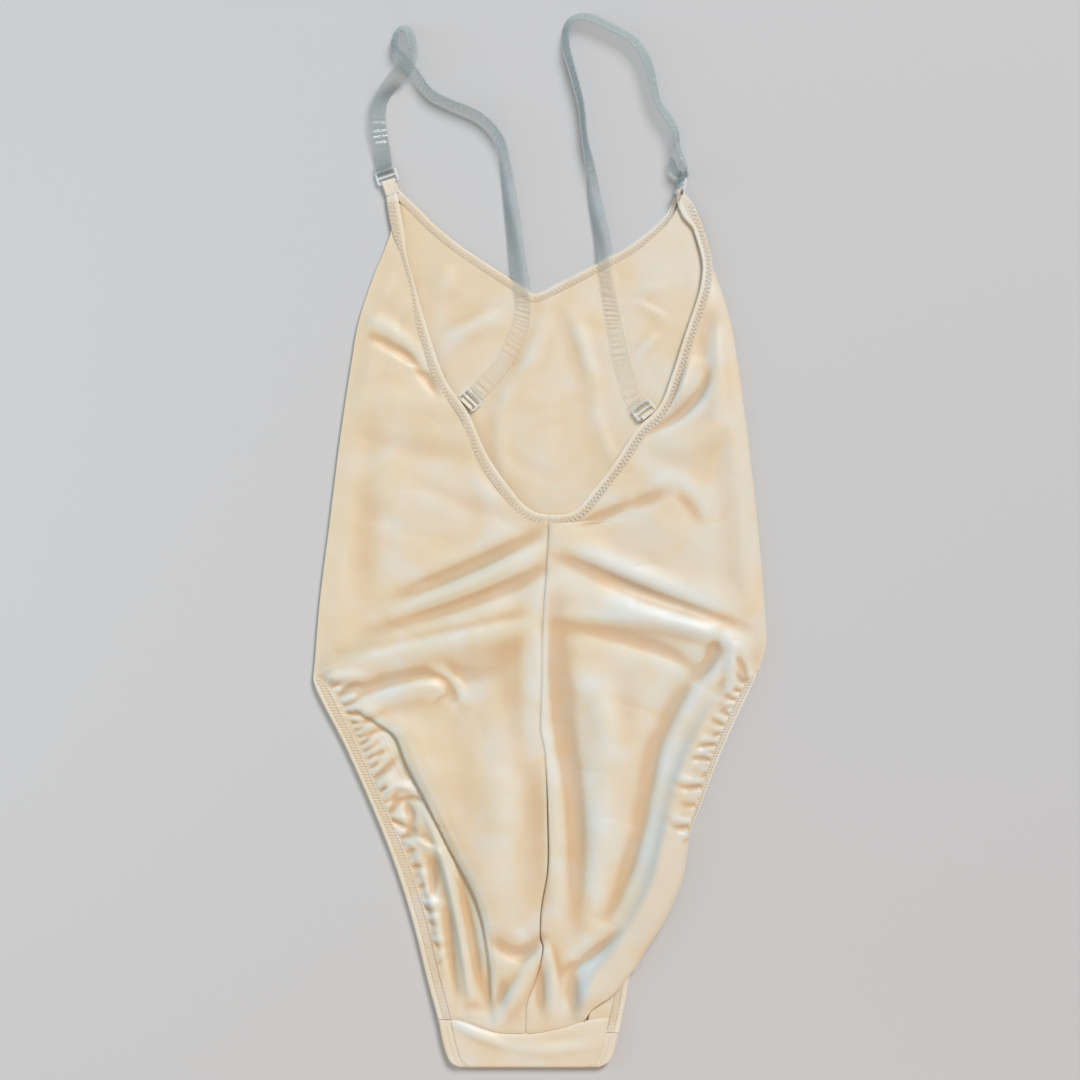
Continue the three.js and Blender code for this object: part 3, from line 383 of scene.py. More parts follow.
BILLOWS = {
    "left": table(
        "y x height", (-116, -131, 0), (-122.5, -124, 2.6), (-131, -110, 4.6), (-137.9, -101.5, 5.6),
        (-156.8, -93.5, 6), (-183.4, -79.5, 6), (-211.4, -65.5, 6), (-231.7, -54.8, 5.6),
        (-247.4, -46.9, 5), (-263.2, -41.7, 4.4), (-280.7, -38.2, 3.6), (-298.2, -36.1, 2.4),
        (-315.7, -35.5, 1.2), (-328, -35.5, 0)),
    "right": table(
        "y x height", (-94, 140, 0), (-100.4, 138.6, 1.6), (-116.2, 121.1, 3.4), (-144.2, 105.3, 4.6),
        (-165.2, 96.6, 4.8), (-191.4, 89.6, 4.8), (-214.2, 84.3, 4.8), (-240.4, 77.3, 4.7),
        (-268.4, 63.4, 4.4), (-287.7, 51.1, 4.0), (-308.7, 35.4, 3.2), (-329.7, 28.4, 1.6),
        (-339, 27, 0.4)),
}
BILLOW_SHAPE = {
    # where its wall starts and its top is reached, how far back it carries on, and how far it leans out
    "left": {"low": -0.5, "high": 15.0, "reach": 48.0, "lean_out": 3.2},
    "right": {"low": -10.5, "high": 1.2, "reach": 400.0, "lean_out": 0.5},
}
GATHERS = {
    # x and y where the trough starts at the band, its run and climb from there, its depth and its width
    "left": table(
        "x y run climb depth width", (-146, -103, 8, 3, 1.5, 1.6), (-141, -109, 9, 1, 1.7, 1.8),
        (-137, -116, 8, -1, 1.6, 1.7), (-134.4, -121.5, 12, -4, 1.9, 1.9),
        (-131, -128.4, 13, -3.5, 1.7, 1.6), (-128.5, -133.5, 9, 0, 1.4, 1.5),
        (-126, -138.1, 11, 2.7, 1.7, 1.6), (-124.8, -143, 8, 2.4, 1.5, 1.4),
        (-122, -148, 7, 2.2, 1.3, 1.4), (-119.5, -153, 7.5, 3.3, 1.5, 1.5),
        (-118, -159.5, 7, 1.5, 1.3, 1.5), (-116.9, -166.9, 11, 3.2, 1.7, 1.6),
        (-111.5, -176, 9, 4.0, 1.8, 1.6), (-108.5, -184, 8, 2, 1.2, 1.5),
        (-106.4, -191.4, 6, 3.5, 1.5, 1.6), (-102.9, -197.2, 13, -8, 1.9, 1.8),
        (-99, -209, 8, -0.5, 1.4, 1.5), (-94, -219, 6, 0, 1.0, 1.5), (-90, -229.3, 8, -0.6, 1.5, 1.6),
        (-86.4, -244, 5, 0, 1.3, 1.5), (-84.2, -256, 9, -8, 1.8, 1.7), (-79, -268, 5, -2, 0.9, 1.5),
        (-76, -282.4, 6, -5, 1.5, 1.6), (-73, -296, 4, -2, 0.8, 1.5)),
    "right": table(
        "x y run climb depth width", (147.5, -103.5, -14, 9, 1.7, 1.7), (145.8, -100.5, -3.5, 16, 1.5, 1.6),
        (142.5, -107, -9, 3.5, 1.4, 1.4), (139.2, -112.7, -8, 1.7, 1.5, 1.4),
        (136, -118, -8, 1, 1.2, 1.3), (133, -124, -6, 6, 1.6, 1.5), (130.2, -130.2, -8, 2, 1.5, 1.4),
        (127.5, -136, -7, 0.5, 1.1, 1.3), (124, -143.8, -12, 1.4, 1.6, 1.6),
        (122, -149.5, -6, 0, 0.9, 1.3), (120.6, -154.7, -15, 5.3, 1.9, 1.7),
        (118.5, -163.4, -5, -1.6, 1.4, 1.6), (116.2, -172.2, -18, -3.5, 2.0, 1.8),
        (114, -180, -9, -3, 1.0, 1.6), (111.5, -187, -12, 4, 1.1, 1.8),
        (107.5, -200.2, -14, -3.5, 2.2, 2.0), (104.5, -209, -5, -1.5, 0.8, 1.6)),
}


GATHER_STYLE = {
    # how much longer, steeper and wider the gathers lie than their rows say
    "left": {"longer": 1.35, "steeper": 0.28, "wider": 1.2},
    "right": {"longer": 1.0, "steeper": 0.0, "wider": 1.0},
}
# how high the crest above a gather and the one below it are, and where and how wide in widths of the trough
GATHER_CRESTS = ((0.62, 2.3, 1.4), (0.22, -2.0, 1.1))
BILLOW_FULL = 6.0


def billow_height(side, x, y):
    """The billow's height, how far its top leans out, a painted shadow line along its base, and painted
    shade down its falling side.
    """
    rows, shape = BILLOWS[side], BILLOW_SHAPE[side]
    slope = (follow(rows, "x", y + 6) - follow(rows, "x", y - 6)) / 12
    beyond = (x - follow(rows, "x", y)) / np.sqrt(1 + slope**2)
    past = np.maximum(beyond, 0)
    height = follow(rows, "height", y) * (y < rows["y"].max()) * (y > rows["y"].min())
    if side == "left":
        wall = np.sqrt(1 - (1 - np.clip((beyond - shape["low"]) / 3, 0, 1)) ** 2)
        crown = np.sin(math.pi / 2 * np.clip((beyond - shape["low"]) / shape["high"], 0, 1))
        up = height * (0.38 * wall + 0.62 * crown)
        # painted shade only, which changes no heights: a dark line along the base and a cool shade down the
        # wall
        painted_base_shadow = height * ridge(beyond + 0.6, 1.1)
        painted_fall_shade = 0.85 * height / BILLOW_FULL * smooth(beyond, -0.6, 0.2) * ridge(past, 6.5)
    else:
        up = height * (0.8 * smooth(beyond, shape["low"], 3) + 0.2 * smooth(beyond, -5, shape["high"]))
        painted_base_shadow = painted_fall_shade = 0 * height
    lean = shape["lean_out"] * height / BILLOW_FULL * smooth(beyond, 0, 3.5) * (1 - smooth(beyond, 4, 16))
    reach = 9 + (shape["reach"] - 9) * smooth(-y, 118, 190)
    return up * np.exp(-past / reach), lean, painted_base_shadow, painted_fall_shade


def gather_height(side, x, y):
    """Short troughs at the leg band, each with a full crest above it and a faint one below."""
    height = np.zeros_like(x)
    rows, style = GATHERS[side], GATHER_STYLE[side]
    for i in range(len(rows["x"])):
        g = {name: column[i] for name, column in rows.items()}
        climb = g["climb"] + style["steeper"] * g["run"]
        stretch = style["longer"] * (0.85 + 0.5 * (0.618 * i % 1))
        length = stretch * math.hypot(g["run"], climb)
        ux, uy = stretch * g["run"] / length, stretch * climb / length
        along = (x - g["x"]) * ux + (y - g["y"]) * uy
        across = (x - g["x"]) * uy - (y - g["y"]) * ux
        # two in three curl down towards their ends, and the third curls up
        across = across + 0.2 * np.maximum(along, 0) ** 2 / length * (1 if i % 3 else -1)
        fade = smooth(along, -3, 0.5) * (1 - smooth(along, 0.3 * length, 1.3 * length))
        width = g["width"] * style["wider"] * (0.75 + 0.9 * np.clip(along / length, 0, 1))
        above = -inward(side) * across
        crests = sum(size * ridge(above - place * width, spread * width)
                     for size, place, spread in GATHER_CRESTS)
        height += g["depth"] * fade * (crests - ridge(across, width))
    return height


print("gathers", len(GATHERS["left"]["x"]), "left,", len(GATHERS["right"]["x"]), "right")

# %% [markdown]
# Materials. The knit is a satin-faced stretch fabric: a matt body colour and a soft broad sheen. Light and
# shade are also painted into its colour: a paler painted highlight on the crests, a deeper painted shade
# down in the folds, and a cool painted shade on slopes that face away from the window. Two values that each
# cloth
# mesh carries say where: "hollow" goes from 0 on a crest to 1 in a trough, and "turned" from 0 on level
# cloth to 1 on such a slope. Faint warm and cool patches of painted sheen lie over both.

# %% Small helpers for node trees


def new_material(name):
    """A material with its node tree's nodes and links and its one shader."""
    made = bpy.data.materials.new(name)
    made.use_nodes = True
    return made, made.node_tree.nodes, made.node_tree.links, made.node_tree.nodes["Principled BSDF"]


def carried(nodes, name):
    """A value that the mesh carries at each of its corners."""
    value = nodes.new("ShaderNodeAttribute")
    value.attribute_name = name
    return value.outputs["Fac"]


def tone_ramp(nodes, links, value, stops):
    """Turns a value into a colour, through stops of a position and a colour each."""
    ramp = nodes.new("ShaderNodeValToRGB")
    for _ in stops[2:]:
        ramp.color_ramp.elements.new(0.5)
    for stop, (position, colour) in zip(ramp.color_ramp.elements, stops):
        stop.position = position
        stop.color = (*colour, 1)
    links.new(value, ramp.inputs["Fac"])
    return ramp.outputs["Color"]


def dyed(nodes, links, colour, tint):
    """A colour multiplied by a tint, as one dye over another."""
    both = nodes.new("ShaderNodeVectorMath")
    both.operation = "MULTIPLY"
    links.new(colour, both.inputs[0])
    links.new(tint, both.inputs[1])
    return both.outputs["Vector"]


def noise(nodes, links, place, size, detail, distortion=0.0):
    """A soft random pattern with patches of a size in metres."""
    pattern = nodes.new("ShaderNodeTexNoise")
    pattern.inputs["Scale"].default_value = 1 / size
    pattern.inputs["Detail"].default_value = detail
    pattern.inputs["Distortion"].default_value = distortion
    links.new(place, pattern.inputs["Vector"])
    return pattern.outputs["Fac"]


# %% [markdown]
# The cloth's material. Its faint warm and cool patches are a painted sheen, and they are painted cooler
# towards the garment's right side, nearer to the window, as painted light from there. The knit's loops lie
# in fine rows across the garment, so their pattern is stretched sideways, and it only bumps the surface.
# The elastic edges have the same build with a paler, duller thread.

# %% Knit and elastic edging

PATCH_SIZE = 0.04
# patches of painted sheen, shifted towards their cool end across to the right as painted light from the
# window
PAINTED_SHEEN_TINTS = ((0.40, (0.955, 0.895, 0.775)), (0.5, (0.97, 0.93, 0.87)), (0.62, (0.95, 0.97, 0.98)))
PAINTED_WINDOW_COOL = 0.7
# cool painted shade on slopes turned from the window, darker as they turn further
PAINTED_COOL_SHADE_TINTS = ((0.0, (1.0, 1.0, 1.0)), (0.6, (0.82, 0.89, 0.97)), (1.0, (0.60, 0.68, 0.76)))
LOOP_STRETCH = (0.3, 1, 1)


def knit_material(name, high, body, deep, roughness, loop_size, loop_height):
    """Cloth whose colour goes from high, a painted highlight on the crests, through body to deep, a painted
    shade in the hollows.
    """
    made, nodes, links, shader = new_material(name)
    shader.inputs["Roughness"].default_value = roughness
    shader.inputs["Sheen Weight"].default_value = 0.25
    shader.inputs["Sheen Roughness"].default_value = 0.4
    shader.inputs["Sheen Tint"].default_value = (0.9, 0.96, 1.0, 1)
    shader.inputs["Specular IOR Level"].default_value = 0.6
    place = nodes.new("ShaderNodeTexCoord").outputs["Object"]
    # painted highlight on the crests and painted shade in the hollows, read from the hollow value
    relief = tone_ramp(nodes, links, carried(nodes, "hollow"), ((0, high), (0.5, body), (1, deep)))

    # painted sheen patches, painted cooler towards the window side
    axes = nodes.new("ShaderNodeSeparateXYZ")
    links.new(place, axes.inputs["Vector"])
    painted_sheen_and_cool = nodes.new("ShaderNodeMath")
    painted_sheen_and_cool.operation = "MULTIPLY_ADD"
    painted_sheen_and_cool.inputs[1].default_value = PAINTED_WINDOW_COOL
    links.new(axes.outputs["X"], painted_sheen_and_cool.inputs[0])
    links.new(noise(nodes, links, place, PATCH_SIZE, 2.5, 0.5), painted_sheen_and_cool.inputs[2])
    patches = tone_ramp(nodes, links, painted_sheen_and_cool.outputs["Value"], PAINTED_SHEEN_TINTS)
    # cool painted shade on slopes turned away from the window
    shade = tone_ramp(nodes, links, carried(nodes, "turned"), PAINTED_COOL_SHADE_TINTS)
    colour = dyed(nodes, links, dyed(nodes, links, relief, patches), shade)
    links.new(colour, shader.inputs["Base Color"])

    rows = nodes.new("ShaderNodeMapping")
    rows.inputs["Scale"].default_value = LOOP_STRETCH
    links.new(place, rows.inputs["Vector"])
    bump = nodes.new("ShaderNodeBump")
    bump.inputs["Strength"].default_value = 0.35
    bump.inputs["Distance"].default_value = loop_height
    links.new(noise(nodes, links, rows.outputs["Vector"], loop_size, 3), bump.inputs["Height"])
    links.new(bump.outputs["Normal"], shader.inputs["Normal"])
    return made


# high is a painted highlight for the crests and deep a painted shade for the hollows
KNIT = knit_material(
    "knit", high=(0.85, 0.82, 0.75), body=(0.84, 0.735, 0.59), deep=(0.745, 0.56, 0.385),
    roughness=0.45, loop_size=0.0013, loop_height=0.00014)
EDGING = knit_material(
    "edging", high=(0.88, 0.86, 0.79), body=(0.84, 0.77, 0.66), deep=(0.60, 0.48, 0.37),
    roughness=0.6, loop_size=0.0009, loop_height=0.00015)
print("cloth materials", KNIT.name, EDGING.name)

# %% [markdown]
# The straps are frosted clear elastic. Seen flat they let most of what is below through, and seen along
# their surface they look milky, so Layer Weight drives how dense they are. Over cloth they look clearer
# than over the ground, so each strap carries a value that says which it lies on. The sliders are clear
# moulded plastic, and the threads are plain.

# %% Straps, sliders and threads


def plain_material(name, colour, roughness, alpha=1.0, coat=0.0):
    """One colour all over."""
    made, _, _, shader = new_material(name)
    shader.inputs["Base Color"].default_value = (*colour, 1)
    shader.inputs["Roughness"].default_value = roughness
    shader.inputs["Alpha"].default_value = alpha
    shader.inputs["Coat Weight"].default_value = coat
    return made


def ranged(nodes, links, value, **ends):
    """Maps a value from one range to another, ends being the range's sockets by name."""
    made = nodes.new("ShaderNodeMapRange")
    for name, end in ends.items():
        made.inputs[name.replace("_", " ").title()].default_value = end
    links.new(value, made.inputs["Value"])
    return made


def strap_material(name, on_ground, on_cloth):
    """Clear elastic, milkier where it is seen along its surface."""
    made, nodes, links, shader = new_material(name)
    shader.inputs["Roughness"].default_value = 0.28
    shader.inputs["Coat Weight"].default_value = 0.4
    over_cloth = carried(nodes, "hollow")
    milk = tone_ramp(nodes, links, over_cloth, ((0, on_ground), (1, on_cloth)))
    links.new(milk, shader.inputs["Base Color"])
    facing = nodes.new("ShaderNodeLayerWeight")
    facing.inputs["Blend"].default_value = 0.6
    thinnest = ranged(nodes, links, over_cloth, to_min=0.42, to_max=0.13)
    density = ranged(nodes, links, facing.outputs["Facing"], from_min=0.38, from_max=0.75, to_max=0.93)
    links.new(thinnest.outputs["Result"], density.inputs["To Min"])
    # the strap's far side is left out, so that its two faces don't add up
    side = nodes.new("ShaderNodeNewGeometry")
    near_only = nodes.new("ShaderNodeMix")
    near_only.inputs["B"].default_value = 0.0
    links.new(side.outputs["Backfacing"], near_only.inputs["Factor"])
    links.new(density.outputs["Result"], near_only.inputs["A"])
    links.new(near_only.outputs["Result"], shader.inputs["Alpha"])
    return made


THREAD = plain_material("thread", (0.58, 0.49, 0.38), 0.6)
DOTS = plain_material("dots", (0.56, 0.45, 0.34), 0.7)
CLEAR_STRAP = strap_material("clear_strap", on_ground=(0.34, 0.42, 0.41), on_cloth=(0.90, 0.90, 0.84))
CLEAR_PLASTIC = plain_material("clear_plastic", (0.88, 0.92, 0.93), 0.08, alpha=0.55, coat=0.6)
print("materials", [m.name for m in bpy.data.materials])

# %% [markdown]
# Every panel and band is a grid laid out in rows and columns, then put in place. The grid comes from
# Blender's own operator; each of its corners knows its row and column from where the operator put it.

# %% Grids into meshes


def grid_object(name, points, finish, wall=0.0, closed=False, hollow=None, turned=None):
    """Makes a grid mesh from points[row, column] in mm. closed joins the last column to the first."""
    rows, columns = points.shape[:2]
    bm = bmesh.new()
    bmesh.ops.create_grid(bm, x_segments=columns - 1, y_segments=rows - 1, size=1.0)
    bm.verts.ensure_lookup_table()
    tone = bm.verts.layers.float.new("hollow")
    away = bm.verts.layers.float.new("turned")
    for vert in bm.verts:
        column = round((vert.co.x + 1) / 2 * (columns - 1))
        row = round((vert.co.y + 1) / 2 * (rows - 1))
        vert.co = Vector(points[row, column]) * MM
        vert[tone] = 0.5 if hollow is None else hollow[row, column]
        vert[away] = 0.0 if turned is None else turned[row, column]
    if closed:
        bmesh.ops.remove_doubles(bm, verts=bm.verts, dist=1e-6)
        bmesh.ops.holes_fill(bm, edges=[e for e in bm.edges if e.is_boundary], sides=columns)
    bmesh.ops.recalc_face_normals(bm, faces=bm.faces)
    if not closed and sum(f.normal.z * f.calc_area() for f in bm.faces) < 0:
        bmesh.ops.reverse_faces(bm, faces=bm.faces)
    for face in bm.faces:
        face.smooth = True
    mesh = bpy.data.meshes.new(name)
    bm.to_mesh(mesh)
    bm.free()
    made = bpy.data.objects.new(name, mesh)
    bpy.context.scene.collection.objects.link(made)
    mesh.materials.append(finish)
    if wall:
        thick = made.modifiers.new("wall", "SOLIDIFY")
        thick.thickness = wall * MM
        thick.offset = -1
        thick.use_even_offset = False
    return made


# %% [markdown]
# The values that paint shade into the cloth's colour are worked out from the grid itself. A place gets
# painted shade where it lies below its neighbours a few steps away, and a cool painted shade where the
# cloth slopes away from the window.

# %% Painted shade from the form

# the cool painted shade: the way away from the window, the slope that gets it in full, its most, and its
# blur
AWAY_FROM_WINDOW = (0.85, -0.5)
FULLY_TURNED = 0.8
MOST_TURNED = 0.75
BLUR = (-2, -1, 0, 1, 2)


def shifted(values, step, axis):
    """The grid's values moved along by some steps, with its edge repeated."""
    last = values.shape[axis] - 1
    return np.take(values, np.clip(np.arange(last + 1) + step, 0, last), axis=axis)


def painted_shade_of(points, reach, depth):
    """How much painted shade: 0.5 on level cloth, 1 in a hollow that is half the depth below its sides, and
    0 on such a crest.
    """
    z = points[..., 2]
    total = 0
    for axis in (0, 1):
        for step in (-reach, reach):
            total = total + shifted(z, step, axis)
    return np.clip(0.5 + (total / 4 - z) / depth, 0, 1)


def painted_cool_shade_of(points):
    """How much cool painted shade: 0 on level cloth, up to 1 on slopes that face the upper left, away from
    the window.
    """
    (xi, xj), (yi, yj), (zi, zj) = (np.gradient(points[..., axis]) for axis in range(3))
    area = xi * yj - xj * yi
    area = np.where(np.abs(area) < 1e-6, 1e-6, area)
    slope_x = (zi * yj - zj * yi) / area
    slope_y = (xi * zj - xj * zi) / area
    facing = AWAY_FROM_WINDOW[0] * slope_x + AWAY_FROM_WINDOW[1] * slope_y
    facing = np.clip(facing / FULLY_TURNED, 0, MOST_TURNED)
    for axis in (0, 1):
        facing = sum(shifted(facing, step, axis) for step in BLUR) / len(BLUR)
    return facing


# %% [markdown]
# The two backs. Their rows run from the side or leg edge across to the scoop and then to the centre seam,
# with the cloth tucked a little way under each elastic edge, as it is when the elastic is sewn on. First
# come both edges of a back, and how high the cloth lies along them.

# %% The backs' edges

SCOOP_ROWS = 150
HIP_ROWS = 87
LEG_ROWS = 200
BACK_COLUMNS = 92
# x of the crotch seam's points where each back ends at its leg, and where the centre seam meets it
CROTCH_AT_LEG = {"left": -60.6, "right": 31.6}
CROTCH_AT_CENTRE = -10.2


def scoop_edges(side, rows):
    """Even steps from the strap point to the centre back: inner and outer edge of the band, and lift."""
    centre = SCOOP_CENTRE_ROW / (len(SCOOP["x"]) - 1)
    start = 0.0 if side == "left" else 1.0
    points = np.stack([SCOOP[name] for name in ("x", "y", "width", "lift")], axis=1)
    out, way = even_steps(points, rows, 2, start, centre)
    if side == "right":
        way = -way
    away = np.stack([way[:, 1], -way[:, 0]], axis=1)
    return out[:, :2], out[:, :2] + away * out[:, 2:3], away, out[:, 3]


def tucked_scoop(side):
    """A back's upper inner edge, under its scoop band: its points, their lift, and each row's own y."""
    _, outer, away, lift = scoop_edges(side, SCOOP_ROWS)
    under = outer - away * (TUCK - SEAM_GAP)
    keep = outer[:, 1] <= (PANEL_TOP + 8 if side == "left" else PANEL_TOP)
    under, lift = under[keep], lift[keep]
    # each row lies lower than the one before it, and rows that come too close are left out
    drop = 0.03 * np.arange(len(under))
    level = np.maximum.accumulate((under[:, 1] + drop)[::-1])[::-1] - drop
    kept = [len(level) - 1]
    for i in range(len(level) - 2, -1, -1):
        if level[i] > level[kept[-1]] + 0.6:
            kept.append(i)
    rows = kept[::-1]
    return under[rows], lift[rows], level[rows]


def back_edges(side):
    """Both edges of a back, the height of each, and each row's share of leg and of crotch pull."""
    under, lift, level = tucked_scoop(side)
    hip_y = np.linspace(level[-1], HIP, HIP_ROWS)[1:]
    leg_end = float(follow(CROTCH_SEAM, "y", CROTCH_AT_LEG[side]))
    leg_y = np.linspace(HIP, leg_end, LEG_ROWS)[1:]
    down = (HIP - leg_y) / (HIP - leg_y[-1])
    centre_y = HIP + (float(follow(CROTCH_SEAM, "y", CROTCH_AT_CENTRE)) - HIP) * down
    # the right back comes out from under its band where it bulges over it
    bulging = 0.0 if side == "left" else smooth(-leg_y, 186, 205)
    inset = np.maximum(follow(LEG_EDGE[side], "inset", leg_y) - TUCK * (1 - bulging), 0.05)
    outer = np.vstack([
        np.stack([side_x(side, level), level], axis=1),
        np.stack([side_x(side, hip_y), hip_y], axis=1),
        np.stack([side_x(side, leg_y) + inward(side) * inset, leg_y], axis=1)])
    inner = np.vstack([
        np.stack([under[:, 0], level], axis=1),
        np.stack([follow(CENTRE_SEAM, "x", hip_y), hip_y], axis=1),
        np.stack([follow(CENTRE_SEAM, "x", centre_y), centre_y], axis=1)])
    inner[len(under) - 1, 0] = follow(CENTRE_SEAM, "x", level[-1])
    above_leg = len(under) + len(hip_y)
    low_out = np.concatenate([np.full(above_leg, SIDE_LIFT), follow(LEG_EDGE[side], "lift", leg_y)])
    low_in = np.concatenate([lift + 0.4, np.full(len(hip_y) + len(leg_y), BACK_LIFT)])
    in_leg = np.concatenate([np.zeros(above_leg), np.ones(len(leg_y))])
    pull = np.concatenate([np.zeros(above_leg), smooth(down, 0.9, 1)])
    return outer, inner, low_out, low_in, in_leg[:, None], pull[:, None]


print("rows along the left back", len(back_edges("left")[0]))

# %% [markdown]
# Between those edges the cloth rises in a soft curve, and its relief is added in layers: the folds, the
# billow, the gathers, the seams' grooves and a faint unevenness. The finished height is kept clear of the
# front below it by a soft limit, as real cloth settles on what it lies on.

# %% The backs' surface

SEAM_GROOVE = 0.6
CROTCH_GROOVE = 0.7
PUCKER = 0.07
BACK_FOLD_SCALE = 1.2
BACK_FOLD_SPREAD = 1.1
SOFT_REST = 0.45


def loose_cloth(x, y):
    """Broad faint swells of cloth that lies loose, in mm."""
    broad = np.sin(x / 12 + 1.7 * np.sin(y / 29)) * np.sin(y / 15 + 1.3 * np.sin(x / 31))
    small = np.sin(x / 7 + y / 11 + 2 * np.sin(y / 23)) * np.sin(y / 8.5 - x / 19 + 1.5 * np.sin(x / 16))
    creases = 0
    for turn, shift in ((0.5, 0.0), (2.2, 30.0)):
        along = (x * math.cos(turn) + y * math.sin(turn) + shift) / 13
        across = (y * math.cos(turn) - x * math.sin(turn)) / 21
        line = (1 - np.abs(np.sin(along + 1.4 * np.sin(across)))) ** 3
        creases = creases + line * smooth(np.sin(across * 1.7 + along * 0.4), 0.2, 1.0)
    return 0.55 * broad + 0.2 * small - 0.38 * creases


def crotch_groove(x, y):
    """How deep the crotch seam pulls the cloth in."""
    return CROTCH_GROOVE * ridge(y - follow(CROTCH_SEAM, "y", x), 1.4)


def settled(z, lowest):
    """Keeps heights above the lowest one, with a soft bend where they reach it."""
    return lowest + SOFT_REST * np.logaddexp(0, (z - lowest) / SOFT_REST)


def back_points(side):
    """A back's upper surface in rows and columns, its relief for the painted fold shade, and its cool
    painted shade.
    """
    outer, inner, low_out, low_in, in_leg, pull = back_edges(side)
    step = np.linspace(0, 1, BACK_COLUMNS)[None, :]
    share = 0.55 * step + 0.45 * step**2
    x = outer[:, :1] + (inner[:, :1] - outer[:, :1]) * share
    y = outer[:, 1:] + (inner[:, 1:] - outer[:, 1:]) * share
    sag = follow(CROTCH_SEAM, "y", x[-1]) - y[-1]
    y = y + pull * (sag[None, :] - 0.2)
    into = share * np.abs(inner[:, 0] - outer[:, 0])[:, None]
    rise = np.where((low_out > low_in)[:, None], smooth(into, 0, 34), smooth(into, 0, 14))
    z = low_out[:, None] + (low_in - low_out)[:, None] * rise + CLOTH

    folds = fold_height(BACK_FOLDS, x.ravel(), y.ravel(), BACK_FOLD_SPREAD).reshape(x.shape)
    billow, lean, painted_base_shadow, painted_fall_shade = billow_height(side, x, y)
    gathers = gather_height(side, x, y)
    # relief ends at the edges, but on the right leg the cloth is puffed up to the very edge
    edge_fade = smooth(into, 0, 12)
    if side == "right":
        puffed = smooth(-outer[:, 1], 186, 215)[:, None]
        edge_fade = edge_fade * (1 - puffed) + puffed * np.sqrt(1 - (1 - np.clip(into / 13, 0, 1)) ** 2)
    edge_fade = edge_fade * (1 - pull)
    near_scoop = smooth(share, 0.93, 1) * (1 - in_leg) * (y > 12)
    folds = BACK_FOLD_SCALE * folds * (1 - 0.6 * near_scoop)
    z = z + (folds + billow) * edge_fade
    z = z + gathers * smooth(into, 0.4, 2.4) * (1 - pull)
    # the centre seam lies in a narrow groove, pulled a little shorter than the cloth
    to_seam = np.abs(x - follow(CENTRE_SEAM, "x", y))
    seam = (y < 10) * ridge(to_seam, 1.1)
    pucker = np.sin(y / 2.9 + 1.3 * np.sin(y / 7.0)) * ridge(to_seam, 4.5) * (y < 10)
    z = z - SEAM_GROOVE * seam + PUCKER * pucker * (1 - seam)
    z = z - crotch_groove(x, y)
    z = z + loose_cloth(x, y) * smooth(into, 4, 20) * (1 - pull)
    z = settled(z, CLOTH + SHELL + SEAM_GAP)
    x = x - lean * edge_fade

    # the relief that the painted fold shade is read from, with a painted shadow line along the billow's
    # base
    relief = folds * edge_fade + gathers - 0.7 * painted_base_shadow * edge_fade
    # the cool painted shade is read from the raised cloth, with more painted down the billow's falling side
    raised = folds + billow + gathers + loose_cloth(x, y)
    surface, relief, raised = (np.stack([x, y, height], axis=-1) for height in (z, relief, raised))
    return surface, relief, np.clip(painted_cool_shade_of(raised) + painted_fall_shade * edge_fade, 0, 1)


# %% [markdown]
# Both backs are made from that surface. The right one bulges over its leg band near the crotch, so its edge
# gets a few more columns that roll it down and under. Under the bulge the same cloth carries on flat to the
# band, which is a small grid of its own.

# %% The backs

# how many steps away the sides of a hollow are, and how deep it then is at its fullest painted shade
PAINTED_SHADE_SCALES = ((9, 3.4), (5, 2.8), (2, 2.6))
ROLL_RADIUS = 0.95
UNDER_LAYER_WIDTH = 15
UNDER_LAYER_TONE = 0.42


def curled_edge(points, side):
    """Adds columns that turn the right leg edge down and under, where it bulges over its band."""
    edge = points[:, 0]
    radius = ROLL_RADIUS * smooth(-edge[:, 1], 188, 222) * (1 - smooth(-edge[:, 1], 331, 336))
    rolled_under = []
    for angle in np.linspace(math.pi, 0, 9)[:-1]:
        out = radius * math.sin(angle)
        drop = radius * (1 - math.cos(angle))
        back = radius * 1.4 * max(0.0, (angle - math.pi / 2) / (math.pi / 2))
        rolled_under.append(np.stack(
            [edge[:, 0] - inward(side) * (out - back * 2), edge[:, 1], edge[:, 2] - drop], axis=-1))
    return np.concatenate([np.stack(rolled_under, axis=1), points], axis=1)


backs = {}
for side in ("left", "right"):
    points, relief, turned = back_points(side)
    # painted fold shade, summed from hollows of three sizes
    hollow = sum(painted_shade_of(relief, reach, depth) for reach, depth in PAINTED_SHADE_SCALES) - 1.0
    if side == "right":
        near_crotch = smooth(-points[:, :, 1], 300, 322) * (points[:, :, 0] > 10)
        fold_back = near_crotch * (1 - smooth(-points[:, :, 1], 333, 337))
        points[:, :, 2] += 1.3 * fold_back * smooth(points[:, :, 0], 10, 28)
        points = curled_edge(points, side)
        extra = points.shape[1] - hollow.shape[1]
        hollow, turned = (np.concatenate([np.repeat(tone[:, :1], extra, axis=1), tone], axis=1)
                          for tone in (hollow, turned))
    backs[side] = grid_object(
        f"back_{side}_cloth", points, KNIT, SHELL, hollow=np.clip(hollow, 0, 1), turned=turned)
    print(f"back {side}", points.shape, "top", round(points[..., 2].max(), 1), "mm")

y = np.linspace(-262, -337.5, 40)[:, None]
share = np.linspace(0, 1, 16)[None, :]
band_end = side_x("right", y) - follow(RIGHT_BAND, "inset", y) - follow(RIGHT_BAND, "width", y)
x = band_end + TUCK - UNDER_LAYER_WIDTH * share
y = np.maximum(y, follow(CROTCH_SEAM, "y", x) - 0.2 + 0 * y)
z = 3.7 + 1.6 * smooth(-y, 308, 334) - 1.3 * smooth(share, 0.55, 1) * (1 - smooth(-y, 318, 334))
z = z - crotch_groove(x, y)
